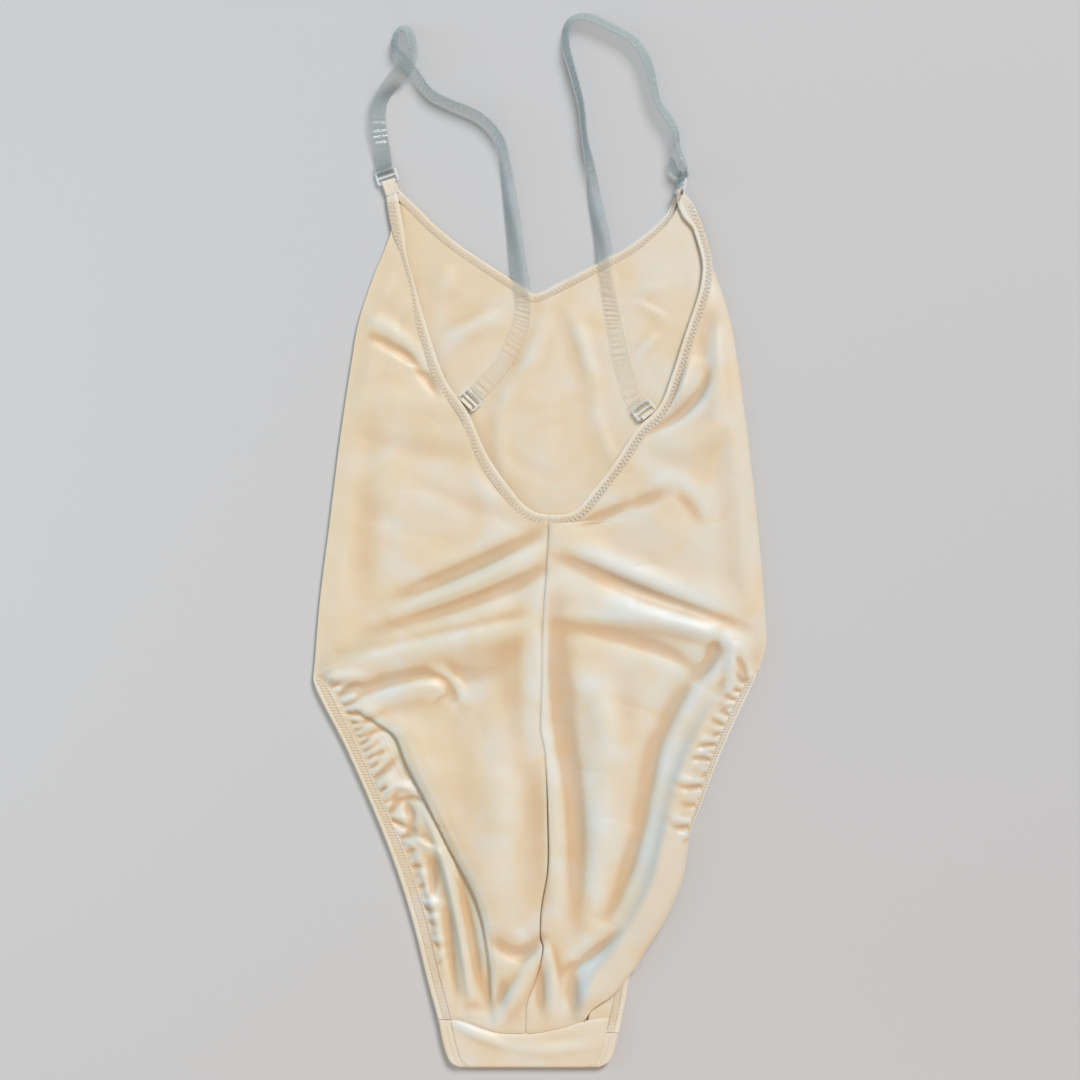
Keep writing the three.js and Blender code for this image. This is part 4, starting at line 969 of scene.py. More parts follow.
# rows that end at the crotch seam are kept a hair apart
apart = 0.004 * np.linspace(40, 0, 40)[:, None]
under_layer = grid_object("under_layer", np.stack([x, y + apart, z], axis=-1), KNIT, SHELL,
                          hollow=np.full(x.shape, UNDER_LAYER_TONE))
print("under layer", x.shape)

# %% [markdown]
# The front is one piece. It lies under the backs, shows its inner face inside the scoop, and wraps round
# the crotch in a small half turn, so its lower end comes up on the back side as a flap. The wrap is a bend
# about a line across the crotch: each row has a y and an angle, and every layer bends at its own depth.

# %% The wrap round the crotch

COVER = 0.8


def wrapped(x, y, angle, depth):
    """A point of the wrap round the crotch, at a depth inside its outer face."""
    radius = WRAP - depth
    rows = np.broadcast_arrays(x, y - radius * np.sin(angle), WRAP - radius * np.cos(angle))
    return np.stack(rows, axis=-1)


def leg_rows(flap_end, flat_rows=110, arc=14, flap=16):
    """Rows of the front's lower half: y and angle, from the hips round to the end of the flap."""
    flat = np.linspace(HIP - 1.5, WRAP_CENTRE, flat_rows)
    angle = np.linspace(0, math.pi, arc + 1)[1:]
    back = np.linspace(WRAP_CENTRE, flap_end, flap + 1)[1:]
    y = np.concatenate([flat, np.full(arc, WRAP_CENTRE), back])
    return y, np.concatenate([np.zeros(flat_rows), angle, np.full(flap, math.pi)])


def front_outer(side, y, angle):
    """The front's outer edge, which the back covers by a little where it lies below."""
    at = y - WRAP * np.sin(angle)
    cover = COVER * (1 + np.cos(angle)) / 2
    return side_x(side, at) + inward(side) * cover * smooth(HIP - y, 0, 10)


def neck_edges(rows):
    """Upper and lower edge of the neck band, and the way down from one to the other."""
    out, way = even_steps(np.stack([NECKLINE["x"], NECKLINE["y"]], axis=1), rows)
    down = np.stack([way[:, 1], -way[:, 0]], axis=1)
    return out, out + down * NECK_BAND, down


print("neckline", round(run_along(neck_edges(260)[0])[-1]), "mm")

# %% [markdown]
# The panel is two grids in one: from the neckline down to the hips, where it lies flat on the ground and
# only its upper face creases inside the scoop, and from the hips round the crotch to the end of the flap.

# %% The front panel

NECK_ROWS = 128
CHEST = 60.0
FLAP_END = -336.15
FRONT_FOLD_SCALE = 1.35
# how much the flap's painted fold shade is lightened
FLAP_PALER = 0.2


def front_body():
    """The front from its neckline to the hips, and where its columns are across it, from 0 to 1."""
    _, lower, down = neck_edges(NECK_ROWS)
    under = lower - down * (TUCK - SEAM_GAP)
    under = under[under[:, 1] < SHOULDER + 1]
    left, right = side_x("left", SHOULDER), side_x("right", SHOULDER)
    top = np.vstack([[[left, SHOULDER]], under, [[right, SHOULDER]]])
    columns = np.linspace(0, 1, len(top))[None, :]

    def across(y):
        a, b = side_x("left", y)[:, None], side_x("right", y)[:, None]
        return a + (b - a) * columns

    t = np.linspace(0, 1, 80)[:, None]
    edge_y = SHOULDER + (CHEST - SHOULDER) * t[:, 0]
    chest_x = (1 - t) * (top[None, :, 0] - across(np.array([SHOULDER]))) + across(edge_y)
    chest_y = (1 - t) * top[None, :, 1] + t * CHEST
    waist_y = np.linspace(CHEST, HIP, 60)[1:]
    flat = np.concatenate([
        np.stack([chest_x, chest_y], -1),
        np.stack([across(waist_y), np.repeat(waist_y[:, None], columns.size, 1)], -1)])
    x, y = flat[..., 0], flat[..., 1]
    shown = smooth(y, 10, 30) * (1 - 0.7 * smooth(y, 200, 225))
    folds = fold_height(FRONT_FOLDS, x.ravel(), y.ravel()).reshape(shown.shape)
    swell = (FRONT_FOLD_SCALE * folds + loose_cloth(x + 40, y)) * shown
    # the underside stays flat on the ground, so the upper face only rises
    z = CLOTH + SOFT_REST * np.logaddexp(0, (swell - 0.3) / SOFT_REST)
    return np.concatenate([flat, z[..., None]], -1), columns


def front_wrap(columns):
    """The front from the hips round the crotch fold to the seam where the flap meets the backs."""
    y, angle = leg_rows(FLAP_END)
    band = follow(FRONT_BAND, "width", y) - TUCK
    left = front_outer("left", y, angle) + band
    right = front_outer("right", y, angle) - band
    x = left[:, None] + (right - left)[:, None] * columns
    on_flap = (angle > 3.1)[:, None]
    t = np.clip((y - WRAP_CENTRE) / (FLAP_END - WRAP_CENTRE), 0, 1)[:, None] * on_flap
    line_y = y[:, None] + t**2 * (follow(CROTCH_SEAM, "y", x) - FLAP_END)
    points = wrapped(x, line_y, angle[:, None], CLOTH)
    folds = fold_height(FLAP_FOLDS, points[..., 0].ravel(), points[..., 1].ravel()).reshape(x.shape)
    points[..., 2] += on_flap * smooth(t, 0, 0.2) * (1 - smooth(t, 0.9, 1)) * folds
    points[..., 2] -= on_flap * crotch_groove(x, line_y)
    return points


body, columns = front_body()
front_sheet = np.concatenate([body, front_wrap(columns)])
# painted fold shade, and on the flap it is lightened by a fixed amount, so the flap looks a little paler
# than the rest
front_painted_shade = painted_shade_of(front_sheet, 4, 3.0) - FLAP_PALER * (front_sheet[..., 1] < -335)
front = grid_object("front_cloth", front_sheet, KNIT, CLOTH, hollow=np.clip(front_painted_shade, 0, 1),
                    turned=painted_cool_shade_of(front_sheet) * (front_sheet[..., 1] > 10))
print("front", front_sheet.shape)

# %% [markdown]
# Elastic edges. Each is a narrow folded band, rounded at its edges and pressed in along its two rows of
# stitches. The same ring of points is carried along the band's two edge curves, and fine crimps run across
# it where the elastic has drawn the cloth together.

# %% A band

BAND_PROFILE = table(
    "across up",
    (0.0, 0.5), (0.02, 0.8), (0.08, 0.97), (0.16, 1.0), (0.26, 0.97), (0.32, 0.9), (0.45, 0.93),
    (0.6, 0.95), (0.75, 0.93), (0.86, 0.9), (0.93, 0.88), (0.98, 0.72), (1.0, 0.5), (0.97, 0.12),
    (0.9, 0.0), (0.5, 0.0), (0.1, 0.0), (0.03, 0.12), (0.0, 0.5))
# the band's own tone, then painted shade in its crimps' troughs and painted highlight on their crests, and
# painted shade over its stitched strip, which leaves the folded rim paler as if lit
BAND_TONE = 0.36
STITCHED_PAINTED_SHADE = 0.3
CRIMP_PAINTED_SHADE = 0.8


def band_object(name, edge_a, edge_b, lift, crimp, pitch=2.4, calm=-1000):
    """A band between two edge curves; crimp is the height of its fine gathers, which fade below calm."""
    across, up = BAND_PROFILE["across"][None, :], BAND_PROFILE["up"][None, :]
    flat = edge_a[:, None, :] + (edge_b - edge_a)[:, None, :] * across[..., None]
    length = run_along(edge_a)
    wave = np.sin(2 * math.pi * length / pitch + 1.5 * np.sin(length / 9.0))[:, None] * crimp
    wave = wave * (0.1 + 0.9 * smooth(edge_a[:, 1], calm, calm + 80))[:, None]
    raised = wave * smooth(up, 0.5, 0.85) * (0.35 + 1.3 * smooth(across, 0.35, 0.95))
    z = lift[:, None] + ELASTIC * up + raised
    points = np.concatenate([flat, z[..., None]], axis=-1)
    # painted shade and highlight from the crimps, and painted shade over the stitched strip
    tone = BAND_TONE - CRIMP_PAINTED_SHADE * wave + STITCHED_PAINTED_SHADE * smooth(across, 0.26, 0.36) * (up > 0.6)
    return grid_object(name, points, EDGING, closed=True, hollow=np.clip(tone, 0, 1))


print("ring of a band", len(BAND_PROFILE["up"]), "points")

# %% [markdown]
# The neck and the scoop. Both bands narrow towards the strap points, where their ends go under the folded
# tabs. The right scoop band also rolls over there, so its two edges move inwards by different shares.

# %% Neck and scoop bands

# y at which the bands end under the tabs
TAB_EDGE = {"left": 246.0, "right": 241.8}
SCOOP_END = {"left": 246, "right": 242.5}

bands = {}
neck_top, neck_low, _ = neck_edges(260)
narrow = np.where(neck_top[:, 0] > 0, 0.45 * smooth(neck_top[:, 1], 208, 234), 0)[:, None]
neck_low = neck_low + (neck_top - neck_low) * narrow
under_tab = np.where(neck_top[:, 0] < 0, TAB_EDGE["left"], TAB_EDGE["right"])
kept = neck_top[:, 1] < under_tab
neck_top, neck_low, under_tab = neck_top[kept], neck_low[kept], under_tab[kept]
neck_lift = 1.25 * smooth(neck_top[:, 1] - under_tab, -8, -3)
bands["front_neck_band"] = band_object("neck_edge", neck_top, neck_low, neck_lift, 0.04)
for side in ("left", "right"):
    inner, outer, _, lift = scoop_edges(side, 300)
    kept = inner[:, 1] < SCOOP_END[side]
    lift = lift - smooth(inner[:, 1], 238, 243)
    if side == "right":
        high = inner[:, 1:2]
        across = outer - inner
        inner = inner - across * 0.5 * smooth(high, 217, 229) * (1 - 0.45 * smooth(high, 234, 243))
        outer = outer - across * 0.4 * smooth(high, 232, 243)
    bands[f"scoop_band_{side}"] = band_object(
        f"scoop_edge_{side}", inner[kept], outer[kept], lift[kept], 0.1)
print("bands", sorted(bands))

# %% [markdown]
# The leg edges. On the back panels they run from the hips to the crotch seam and climb onto the flap's
# height at their lower end. On the front they follow the wrap, so the same ring of points is bent with it.

# %% Leg bands

LEG_BAND_END = {"left": -335.7, "right": RIGHT_BAND_SEAM + 0.15}
FRONT_BAND_END = {"left": FLAP_END, "right": RIGHT_BAND_SEAM - 0.15}
BAND_CLIMB = {"left": 35, "right": 9}


def leg_back_edges(side):
    """Outer and inner edge of a back leg band, and its height above the ground."""
    end, climb = LEG_BAND_END[side], BAND_CLIMB[side]
    y = np.linspace(HIP - 3, end, 420)
    inset = 0 * y if side == "left" else follow(RIGHT_BAND, "inset", y)
    width = follow(LEG_EDGE["left"], "inset", y) if side == "left" else follow(RIGHT_BAND, "width", y)
    outer = side_x(side, y) + inward(side) * inset
    rise = (2 * WRAP - ELASTIC - LEG_BAND_LIFT) * smooth(end + climb - y, 0, climb)
    return (np.stack([outer, y], -1), np.stack([outer + inward(side) * width, y], -1),
            LEG_BAND_LIFT + rise)


def leg_front_band(side):
    """The front's leg edge, round the crotch fold and up onto the back side."""
    y, angle = leg_rows(FRONT_BAND_END[side], 200, 12, 30)
    outer = front_outer(side, y, angle)
    width = follow(FRONT_BAND, "width", y)
    across, up = BAND_PROFILE["across"][None, :], BAND_PROFILE["up"][None, :]
    x = outer[:, None] + inward(side) * width[:, None] * across
    # the band's neat face is its outer one, so its rounded side is turned to depth 0
    depth = ELASTIC * (1 - up) * np.ones_like(x)
    points = wrapped(x, y[:, None], angle[:, None], depth)
    return grid_object(f"leg_edge_front_{side}", points, EDGING, closed=True)


for side in ("left", "right"):
    bands[f"leg_band_back_{side}"] = band_object(
        f"leg_edge_back_{side}", *leg_back_edges(side), 0.2, 2.1, calm=-270)
for side in ("left", "right"):
    bands[f"leg_band_front_{side}"] = leg_front_band(side)
print("bands", sorted(bands))

# %% [markdown]
# Straps, tabs and sliders. A strap is one ribbon: it turns round a bar of its back slider, crosses the
# front's inner face, lies in a loose loop on the ground and turns round a bar of the front slider. The
# path lists where its middle is and how far it is rolled onto its edge, in degrees.

# %% Where straps and sliders lie

SLIDER = {"width": 15.6, "length": 10.0, "thick": 1.6, "side": 1.5, "end": 1.2, "middle": 1.4}
LOOP_PLAY = 0.25
END_BAR = SLIDER["length"] / 2 - SLIDER["end"] / 2
# how far a strap's upper and lower legs run on from the bar that it turns round
BACK_LEGS = (5.2, 5.0)
FRONT_LEGS = {"left": (5.2, 5.0), "right": (3.0, 2.4)}
SLIDERS = {
    # x, y and z of its middle, the way its strap leaves, and how far its plate is tilted, in degrees
    "front_left": (-107.4, 254.9, 2.25, 108, 0),
    "front_right": (98.9, 248.2, 7.9, 78, 74),
    "back_left": (-48.9, 98.3, 3.7, 46, 0),
    "back_right": (72.8, 91.1, 3.8, 128, 0),
}
STRAP_PATHS = {
    "left": table(
        "x y z roll", (-38.2, 109.6, 2.3, 0), (-26, 123.9, 2.6, 0), (-14.5, 146.3, 2.9, 4),
        (-11, 163, 3.5, 10), (-12.3, 175.7, 4.5, 14), (-15, 191.8, 3.8, 16), (-17.2, 209.3, 3.2, 22),
        (-20.7, 237.3, 4.2, 36), (-24.2, 261.8, 5.1, 50), (-28.5, 281, 5.7, 60), (-41.7, 295.7, 5.8, 63),
        (-63.2, 305.5, 5.9, 66), (-76, 312.5, 5.9, 66), (-86.4, 324.7, 5.3, 55), (-91.3, 329.6, 4.6, 45),
        (-96.6, 335.9, 5.2, 50), (-100.7, 343.4, 6.0, 64), (-101.4, 350.6, 6.2, 68),
        (-98.6, 356.8, 6.2, 66), (-94.2, 357.6, 6.4, 62), (-90.6, 353, 7.0, 62), (-89.2, 344, 9.0, 60),
        (-90.6, 335.5, 12.0, 45), (-95.2, 328.6, 12.8, 35), (-102.3, 321.2, 9.4, 42),
        (-108.2, 314, 5.4, 44), (-112.3, 306, 4.1, 35), (-113.6, 297, 3.5, 27), (-113.2, 288.1, 3.1, 22),
        (-111.4, 277.4, 2.4, 15), (-110.2, 267, 1.2, 5)),
    "right": table(
        "x y z roll", (64.4, 102.3, 2.2, 0), (60, 116, 2.3, 3), (55.6, 135, 2.5, 5), (51.5, 157, 2.8, 8),
        (48.4, 181.3, 4.6, 14), (46.2, 196, 5.2, 18), (43.6, 212, 3.8, 24), (38.5, 238, 4.9, 42),
        (36.7, 252.3, 5.4, 55), (34.8, 265.7, 5.9, 66), (31.8, 280.9, 6.2, 75), (29, 305.9, 6.2, 74),
        (22, 332.7, 6.2, 73), (19.1, 343.4, 6.1, 70), (18.2, 354.1, 6.0, 68), (19.8, 361.2, 6.0, 67),
        (24.2, 365.2, 5.9, 63), (32.3, 366.2, 5.6, 56), (41.2, 363, 5.5, 53), (60.8, 353.2, 5.6, 56),
        (68, 346.9, 5.6, 56), (73.3, 338.9, 5.6, 56), (76.9, 329.1, 5.7, 58), (81.8, 308.6, 5.9, 63),
        (86.7, 299.6, 5.8, 60), (91.6, 292.9, 5.8, 61), (95, 285.4, 6.0, 68), (95.9, 276.4, 6.2, 70),
        (98.8, 268.6, 6.6, 72), (102, 260.6, 7.3, 74)),
}
RIBBON_PROFILE = table(
    "across up", (-0.5, 0.0), (-0.49, 0.42), (-0.46, 0.5), (-0.43, 0.5), (-0.38, 0.38), (-0.2, 0.38),
    (0.0, 0.4), (0.2, 0.38), (0.38, 0.38), (0.43, 0.5), (0.46, 0.5), (0.49, 0.42), (0.5, 0.0),
    (0.49, -0.42), (0.46, -0.5), (0.43, -0.5), (0.38, -0.38), (0.2, -0.38), (0.0, -0.4),
    (-0.2, -0.38), (-0.38, -0.38), (-0.43, -0.5), (-0.46, -0.5), (-0.49, -0.42), (-0.5, 0.0))


print("strap rows", [len(path["x"]) for path in STRAP_PATHS.values()])

# %% [markdown]
# A ribbon is a ring of points carried along a path, thin in its middle and thicker at its two corded
# edges. Its ends are half turns round the slider's end bars, worked out in the slider's own axes.

# %% A ribbon and its turns

STRAP_RIPPLE = 0.36
OTHER_TONE = 0.4


def slider_frame(name):
    """The slider's own axes: X across its width, Y towards the strap, Z out of its plate."""
    x, y, z, heading, tilt = SLIDERS[name]
    place = Matrix.Translation((x, y, z)) @ Matrix.Rotation(math.radians(heading - 90), 4, "Z")
    return np.array(place @ Matrix.Rotation(math.radians(-tilt), 4, "Y"))


def in_frame(name, points):
    """Points in a slider's own axes, as they lie on the garment."""
    axes = slider_frame(name)
    return points @ axes[:3, :3].T + axes[:3, 3]


def loop_path(way, first_leg, last_leg, sink=0.0):
    """Middle line of a ribbon's end round an end bar, from its upper leg, in the slider's own axes."""
    radius = SLIDER["thick"] / 2 + LOOP_PLAY + STRAP_THICK / 2
    arc = np.linspace(math.pi / 2, -math.pi / 2, 15)
    first, last = np.linspace(first_leg, 0.4, 6), np.linspace(0.4, last_leg, 6)
    y = np.concatenate([first, -radius * np.cos(arc), last])
    upper = radius - sink * np.linspace(1, 0, 6) ** 1.5
    z = np.concatenate([upper, radius * np.sin(arc), np.full(6, -radius)])
    return np.stack([0 * y, way * (END_BAR + y), z], axis=-1)


def rolled(path):
    """The direction across a strap at each row, from its path and roll."""
    way = unit(np.gradient(path[:, :3], axis=0))
    flat = unit(np.cross(way, [0, 0, 1]))
    up = np.cross(flat, way)
    turn = np.radians(path[:, 3:4])
    return flat * np.cos(turn) + up * np.sin(turn)


def strap_tone(points):
    """1 where a strap lies over the cloth and 0 beyond the neckline."""
    neck_y = np.interp(points[..., 0], NECKLINE["x"], NECKLINE["y"])
    return 1 - smooth(points[..., 1] - neck_y, -2, 2)


def ribbon(name, centre, across, width, thick, finish, ripple=0.0, taper=None):
    """Carries the ribbon's ring of points along a path, and gives its length too."""
    way = unit(np.gradient(centre, axis=0))
    across = unit(across - way * (across * way).sum(axis=1)[:, None])
    out = np.cross(across, way)
    length = run_along(centre)
    a, b = RIBBON_PROFILE["across"], RIBBON_PROFILE["up"]
    wave = np.sin(length / 0.62 + 2.2 * np.sin(length / 6.1) + 1.1 * np.sin(length / 2.3))
    swell = 0.5 + 0.5 * np.sin(length / 17.0) * np.sin(length / 7.3)
    ends = smooth(length, 8, 16) * (1 - smooth(length, length[-1] - 16, length[-1] - 8))
    shift = (ripple * wave * swell * ends)[:, None] * (1 - (2 * np.abs(a[None, :])) ** 4)
    if taper is not None:
        across = across * taper[:, None]
    points = (centre[:, None, :] + across[:, None, :] * (a * width)[None, :, None]
              + out[:, None, :] * (b[None, :] * thick + shift)[..., None])
    tone = strap_tone(points) if finish is CLEAR_STRAP else np.full(points.shape[:2], OTHER_TONE)
    return grid_object(name, points, finish, closed=True, hollow=tone), float(length[-1])


print("turn round a bar", round(run_along(loop_path(1, *FRONT_LEGS["left"]))[-1], 1), "mm")

# %% [markdown]
# The straps. Each path starts with the turn at the back slider and ends with the one at the front slider,
# and the strap's roll blends into the slider's own tilt over its first and last few rows. The right strap
# also has a loose tail beyond its front slider.

# %% The straps

STRAP_ROWS = 620
BLEND_ROWS = 12
TAIL_ROWS = 30


def strap_path(side):
    """Middle line of a strap with both its turns, and the direction across it at each row."""
    rows = np.stack([STRAP_PATHS[side][name] for name in ("x", "y", "z", "roll")], axis=1)
    back_name, front_name = f"back_{side}", f"front_{side}"
    start = in_frame(back_name, loop_path(1, *BACK_LEGS))
    end = in_frame(front_name, loop_path(1, *FRONT_LEGS[side]))[::-1]
    tilt = SLIDERS[front_name][4]
    lead = np.vstack([np.append(start[-1], 0), rows, np.append(end[0], tilt)])
    main, _ = even_steps(lead, STRAP_ROWS, 3)
    centre = np.vstack([start[:-1], main[:, :3], end[1:]])
    side_on = rolled(main)
    axis_back, axis_front = (slider_frame(name)[:3, 0] for name in (back_name, front_name))
    axis_back = axis_back * np.sign(axis_back @ side_on[0])
    axis_front = axis_front * np.sign(axis_front @ side_on[-1])
    step = np.arange(len(main))
    for axis, rows_in in ((axis_back, step), (axis_front, step[::-1])):
        blend = smooth(rows_in, 0, BLEND_ROWS)[:, None]
        side_on = side_on * blend + axis * (1 - blend)
    across = np.vstack([np.tile(axis_back, (len(start) - 1, 1)), side_on,
                        np.tile(axis_front, (len(end) - 1, 1))])
    return centre, across


straps, strap_lengths = {}, {}
for side in ("left", "right"):
    centre, across = strap_path(side)
    straps[side], strap_lengths[side] = ribbon(
        f"strap_{side}_elastic", centre, across, STRAP_WIDTH, STRAP_THICK, CLEAR_STRAP, STRAP_RIPPLE)
    print("strap", side, round(strap_lengths[side]), "mm")

tail_start = in_frame("front_right", loop_path(1, *FRONT_LEGS["right"]))[0]
tail_rows = np.array([
    [*tail_start, 74], [95.6, 257.0, 7.9, 72], [92.8, 261.8, 7.2, 62], [91.9, 267.6, 6.6, 66]], float)
tail_rows, _ = even_steps(tail_rows, TAIL_ROWS, 3)
strap_tail, _ = ribbon(
    "strap_right_tail", tail_rows[:, :3], rolled(tail_rows), STRAP_WIDTH, STRAP_THICK, CLEAR_STRAP,
    taper=1 - 0.7 * smooth(np.arange(TAIL_ROWS), 18, TAIL_ROWS))

# %% [markdown]
# The tabs are short folded strips of the knit that hold the sliders to the garment. Three of them are a
# plain turn round the slider's other end bar. The right front one stands on its edge there, so it is made
# of a turned strip and a small hook round the bar.

# %% The tabs

TAB_TAPER = 0.93


def tab_object(name, slider, first_leg, last_leg, sink=0.0):
    """A folded tab round the slider's lower bar, a little narrower at its upper end."""
    path = in_frame(slider, loop_path(-1, first_leg, last_leg, sink))
    across = np.tile(slider_frame(slider)[:3, 0], (len(path), 1))
    taper = TAB_TAPER - 0.13 * np.linspace(1, 0, len(path)) ** 2
    return ribbon(name, path, across, TAB_WIDTH, STRAP_THICK, EDGING, taper=taper)[0]


tabs = {
    "front_tab_left": tab_object("tab_front_left", "front_left", 9.5, 8.2, 1.1),
    "back_tab_left": tab_object("tab_back_left", "back_left", 0.5, 7),
    "back_tab_right": tab_object("tab_back_right", "back_right", 1.0, 7),
}
turn_rows = np.array([(98.2, 244.8, 7.7, 74), (97.9, 242.8, 7.4, 74), (97.7, 241, 6.6, 74),
                      (97.6, 239.5, 5.6, 74)], float)
turn_rows, _ = even_steps(turn_rows, TAIL_ROWS, 3)
tab_turn, _ = ribbon("tab_front_right", turn_rows[:, :3], rolled(turn_rows), TAB_WIDTH, 2.6, EDGING,
                     taper=0.55 + 0.45 * np.linspace(1, 0, TAIL_ROWS))
tab_hook = tab_object("tab_front_right_hook", "front_right", 2.4, 2.4)
print("tabs", sorted(tabs), tab_turn.name, tab_hook.name)

# %% [markdown]
# Sliders are moulded in one piece: a rounded frame with a bar across the middle. A flat curve with two
# holes gives that outline, and a bevel on the curve gives the soft moulded edge.

# %% The sliders


def rounded_box(x0, x1, y0, y1, radius, steps=5):
    """Corner points of a rounded rectangle, once round."""
    corners = ((x1 - radius, y0 + radius, -90), (x1 - radius, y1 - radius, 0),
               (x0 + radius, y1 - radius, 90), (x0 + radius, y0 + radius, 180))
    points = []
    for cx, cy, start in corners:
        for i in range(steps + 1):
            angle = math.radians(start + 90 * i / steps)
            points.append((cx + radius * math.cos(angle), cy + radius * math.sin(angle)))
    return points


SLIDER_BEVEL = 0.3
PLATE_CORNER = 2.4
WINDOW_CORNER = 0.6


def slider_object(name, place):
    """A moulded slider: a rounded plate with two windows, which leave a bar across its middle."""
    half_width, half_length = SLIDER["width"] / 2, SLIDER["length"] / 2
    loops = [rounded_box(-half_width, half_width, -half_length, half_length, PLATE_CORNER)]
    window = half_width - SLIDER["side"]
    for way in (-1, 1):
        low, high = sorted((way * SLIDER["middle"] / 2, way * (half_length - SLIDER["end"])))
        loops.append(rounded_box(-window, window, low, high, WINDOW_CORNER))
    curve = bpy.data.curves.new(name, "CURVE")
    curve.dimensions = "2D"
    curve.fill_mode = "BOTH"
    curve.extrude = (SLIDER["thick"] / 2 - SLIDER_BEVEL) * MM
    curve.bevel_depth = SLIDER_BEVEL * MM
    curve.offset = -SLIDER_BEVEL * MM
    curve.bevel_resolution = 2
    for loop in loops:
        part = curve.splines.new("POLY")
        part.points.add(len(loop) - 1)
        for point, (x, y) in zip(part.points, loop):
            point.co = (x * MM, y * MM, 0, 1)
        part.use_cyclic_u = True
    holder = bpy.data.objects.new(name + "_curve", curve)
    bpy.context.scene.collection.objects.link(holder)
    bpy.context.view_layer.update()
    mesh = bpy.data.meshes.new_from_object(holder.evaluated_get(bpy.context.evaluated_depsgraph_get()))
    bpy.data.objects.remove(holder)
    bpy.data.curves.remove(curve)
    axes = slider_frame(place)
    axes[:3, 3] *= MM
    mesh.transform(Matrix(axes.tolist()))
    mesh.name = name
    mesh.materials.clear()
    mesh.materials.append(CLEAR_PLASTIC)
    for face in mesh.polygons:
        face.use_smooth = True
    made = bpy.data.objects.new(name, mesh)
    bpy.context.scene.collection.objects.link(made)
    return made


sliders = {name: slider_object(f"slider_{name}_clear", name) for name in SLIDERS}
print("sliders", sorted(sliders))

# %% [markdown]
# Stitches. Elastic edges are sewn with a stretch zigzag, so the thread runs from side to side along the
# band. On the leg bands only short dips of it show, as two rows of dots. The seams of the knit are plain,
# and show as a fine darker line down in their grooves.

# %% Kinds of stitches

ZIGZAG_PITCH = 1.5
DOT_PITCH = 2.6
END_FREE = 2.0


def thread(name, strokes, radius, finish):
    """Thin round thread along each of the strokes, which are rows of points in mm."""
    curve = bpy.data.curves.new(name, "CURVE")
    curve.dimensions = "3D"
    curve.bevel_depth = radius * MM
    curve.bevel_resolution = 0
    for stroke in strokes:
        part = curve.splines.new("POLY")
        part.points.add(len(stroke) - 1)
        for point, place in zip(part.points, stroke):
            point.co = (*(Vector(place) * MM), 1)
    made = bpy.data.objects.new(name, curve)
    bpy.context.scene.collection.objects.link(made)
    curve.materials.append(finish)
    return made


def along_band(edge_a, edge_b, height, at):
    """Both edges and the height of a band, read at lengths along its middle."""
    length = run_along((edge_a + edge_b) / 2)
    both = np.concatenate([edge_a, edge_b, height[:, None]], axis=1)
    return np.stack([np.interp(at, length, column) for column in both.T], axis=1)


def stitch_places(edge_a, edge_b, pitch):
    """Lengths along a band's middle, a pitch apart, that keep clear of its ends."""
    return np.arange(END_FREE, run_along((edge_a + edge_b) / 2)[-1] - END_FREE, pitch)


def zigzag(edge_a, edge_b, height, low, high):
    """One stroke that swings between two lines along a band."""
    at = stitch_places(edge_a, edge_b, ZIGZAG_PITCH)
    rows = along_band(edge_a, edge_b, height, at)
    share = np.where(np.arange(len(at)) % 2, low, high)[:, None]
    flat = rows[:, :2] + (rows[:, 2:4] - rows[:, :2]) * share
    return [np.concatenate([flat, rows[:, 4:]], axis=1)]


def dashes(edge_a, edge_b, height, shares):
    """Short strokes in rows along a band, each dipping into the cloth at both ends."""
    strokes = []
    for share in shares:
        for at in stitch_places(edge_a, edge_b, DOT_PITCH):
            rows = along_band(edge_a, edge_b, height, at + np.array([-0.3, 0, 0.3]) * DOT_PITCH)
            flat = rows[:, :2] + (rows[:, 2:4] - rows[:, :2]) * share
            strokes.append(np.column_stack([flat, rows[:, 4] + (-0.25, 0.05, -0.25)]))
    return strokes


print("stitches every", ZIGZAG_PITCH, "and", DOT_PITCH, "mm")

# %% [markdown]
# The zigzag lies in the half of the band that holds the cloth. The leg bands have two rows of dots, and so
# do the short lengths of band that come up beside the flap.

# %% Stitches on the garment

STITCH_TOP = ELASTIC * 0.95
SCOOP_STITCHED = {"left": 240, "right": 235}
FLAP_STITCHED = {"left": -337.5, "right": RIGHT_BAND_SEAM - 1}

neck_line = zigzag(neck_top, neck_low, np.full(len(neck_top), STITCH_TOP), 0.45, 0.84)
stitches = {"front": [thread("neck_stitches", neck_line, 0.19, THREAD)]}
for side in ("left", "right"):
    inner, outer, _, lift = scoop_edges(side, 300)
    kept = inner[:, 1] < SCOOP_STITCHED[side]
    scoop_line = zigzag(inner[kept], outer[kept], lift[kept] + STITCH_TOP, 0.4, 0.86)
    a, b, lift = leg_back_edges(side)
    wide = np.linalg.norm(b - a, axis=1) > 4
    dots = dashes(a[wide], b[wide], lift[wide] + 2.0, (0.36, 0.8))
    legs = thread(f"leg_stitches_{side}", dots, 0.24, DOTS)
    stitches[side] = [thread(f"scoop_stitches_{side}", scoop_line, 0.25, THREAD), legs]
for side in ("left", "right"):
    y = np.linspace(WRAP_CENTRE, FLAP_STITCHED[side], 60)
    outer_x = side_x(side, y)
    inner_x = outer_x + inward(side) * follow(FRONT_BAND, "width", y)
    dots = dashes(np.stack([outer_x, y], axis=1), np.stack([inner_x, y], axis=1),
                  np.full(60, 2 * WRAP - 0.1), (0.5, 0.92))
    stitches["front"].append(thread(f"flap_stitches_{side}", dots, 0.22, DOTS))
print("stitch lines", sum(len(lines) for lines in stitches.values()))

# %% [markdown]
# What stands for what. Each cloth piece replaces its rigid stand-in and rides on the one body.

# %% Riding and replacing

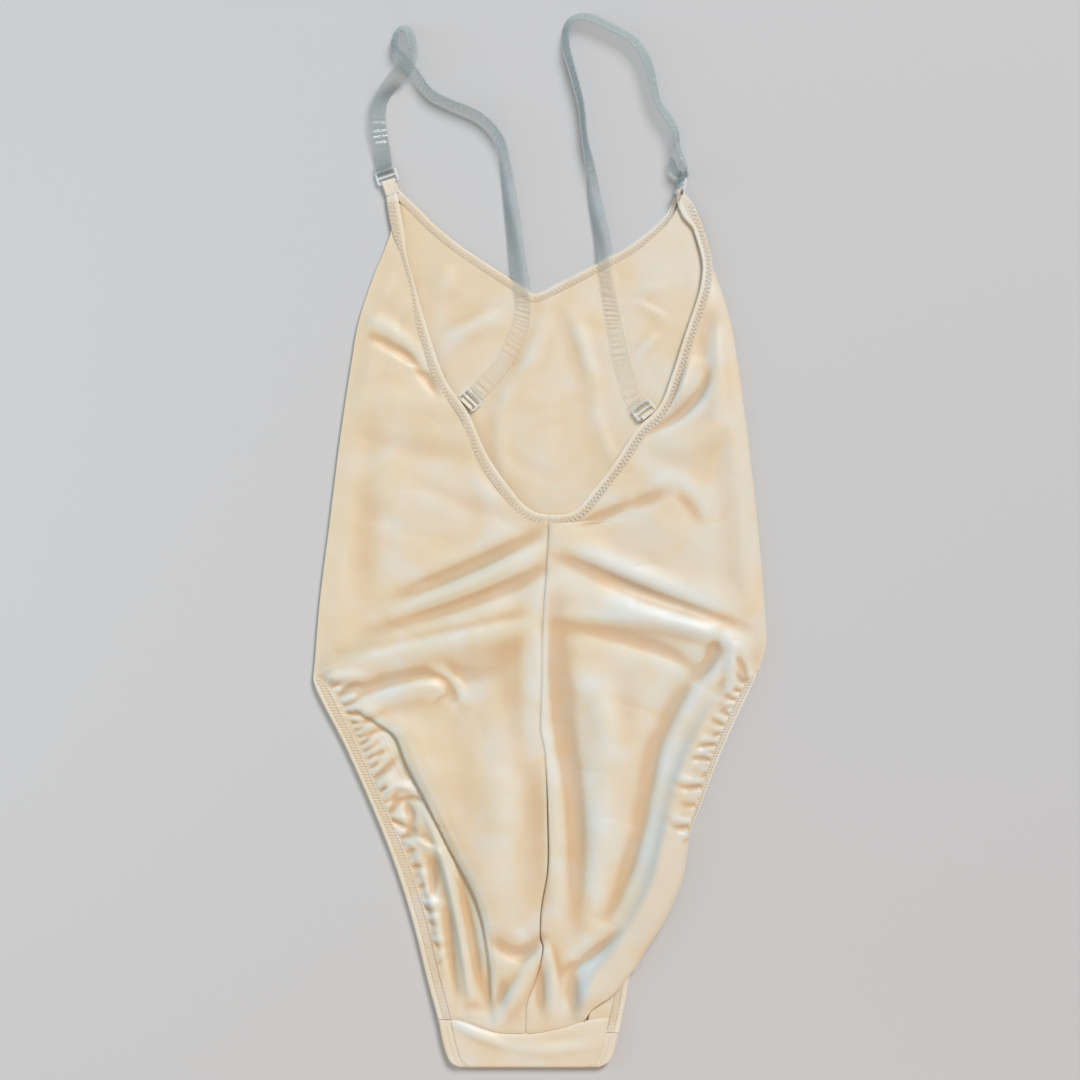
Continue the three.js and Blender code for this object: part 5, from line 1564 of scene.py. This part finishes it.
pieces = [(front, "front", "knit"), (backs["left"], "back_left", "knit"),
          (backs["right"], "back_right", "knit"), (under_layer, "back_right", "knit")]
pieces += [(piece, node, "elastic_edge") for node, piece in bands.items()]
pieces += [(piece, node, "knit") for node, piece in tabs.items()]
pieces += [(piece, "front_tab_right", "knit") for piece in (tab_turn, tab_hook)]
pieces += [(piece, f"slider_{name}", "clear_plastic") for name, piece in sliders.items()]
pieces += [(piece, f"strap_{side}", "clear_strap") for side, piece in straps.items()]
pieces.append((strap_tail, "strap_right", "clear_strap"))
for piece, node, slot in pieces:
    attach(piece, "root")
    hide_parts(node)
for lines in stitches.values():
    for piece in lines:
        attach(piece, "root")

print("pieces", len(pieces) + sum(len(lines) for lines in stitches.values()))

# %% [markdown]
# A plain pale floor and soft lamps: a large one past the upper right of the garment, a faint warm one
# overhead, and two low ones, cool from the left and warm from the lower end, as a window, the sky and a
# lit wall would be. The camera looks straight down, as the photograph does.

# %% Floor, light and camera

FLOOR_DEPTH = 0.2
CAMERA_HEIGHT = 1.7
FRAME_WIDTH = 0.756
SENSOR = 36
# each lamp's place, its size, its power and its colour
LAMPS = {
    "window": ((2.12, 3.38, 3.88), 2.2, 258, (0.985, 0.99, 1.0)),
    "ceiling": ((-0.6, -0.1, 0.9), 0.7, 1.6, (1.0, 0.84, 0.56)),
    "sky": ((-1.5, 0.1, 0.5), 0.8, 8.0, (0.42, 0.7, 1.0)),
    "wall": ((0.2, -1.6, 0.5), 0.8, 8.0, (1.0, 0.74, 0.48)),
}

bm = bmesh.new()
bmesh.ops.create_grid(bm, x_segments=1, y_segments=1, size=3.0)
floor_mesh = bpy.data.meshes.new("floor")
bm.to_mesh(floor_mesh)
bm.free()
floor = bpy.data.objects.new("floor", floor_mesh)
bpy.context.scene.collection.objects.link(floor)
floor.location.z = -FLOOR_DEPTH * MM
floor_mesh.materials.append(plain_material("floor", (0.62, 0.62, 0.63), 0.9))

for name, (place, size, power, colour) in LAMPS.items():
    light = bpy.data.lights.new(name, "AREA")
    light.shape = "SQUARE"
    light.size = size
    light.energy = power
    light.color = colour
    lamp = bpy.data.objects.new(name, light)
    lamp.location = place
    lamp.rotation_euler = (-Vector(place)).to_track_quat("-Z", "Y").to_euler()
    bpy.context.scene.collection.objects.link(lamp)
world = bpy.data.worlds.new("room")
world.use_nodes = True
world.node_tree.nodes["Background"].inputs["Color"].default_value = (0.96, 0.98, 1.0, 1)
world.node_tree.nodes["Background"].inputs["Strength"].default_value = 0.19
bpy.context.scene.world = world
bpy.context.scene.view_settings.view_transform = "Standard"

camera_data = bpy.data.cameras.new("camera")
camera_data.sensor_width = SENSOR
camera_data.lens = SENSOR * (CAMERA_HEIGHT - 0.005) / FRAME_WIDTH
camera = bpy.data.objects.new("camera", camera_data)
camera.location = (0, 0, CAMERA_HEIGHT)
bpy.context.scene.collection.objects.link(camera)
bpy.context.scene.camera = camera
print("lamps", list(LAMPS), "lens", round(camera_data.lens), "mm")
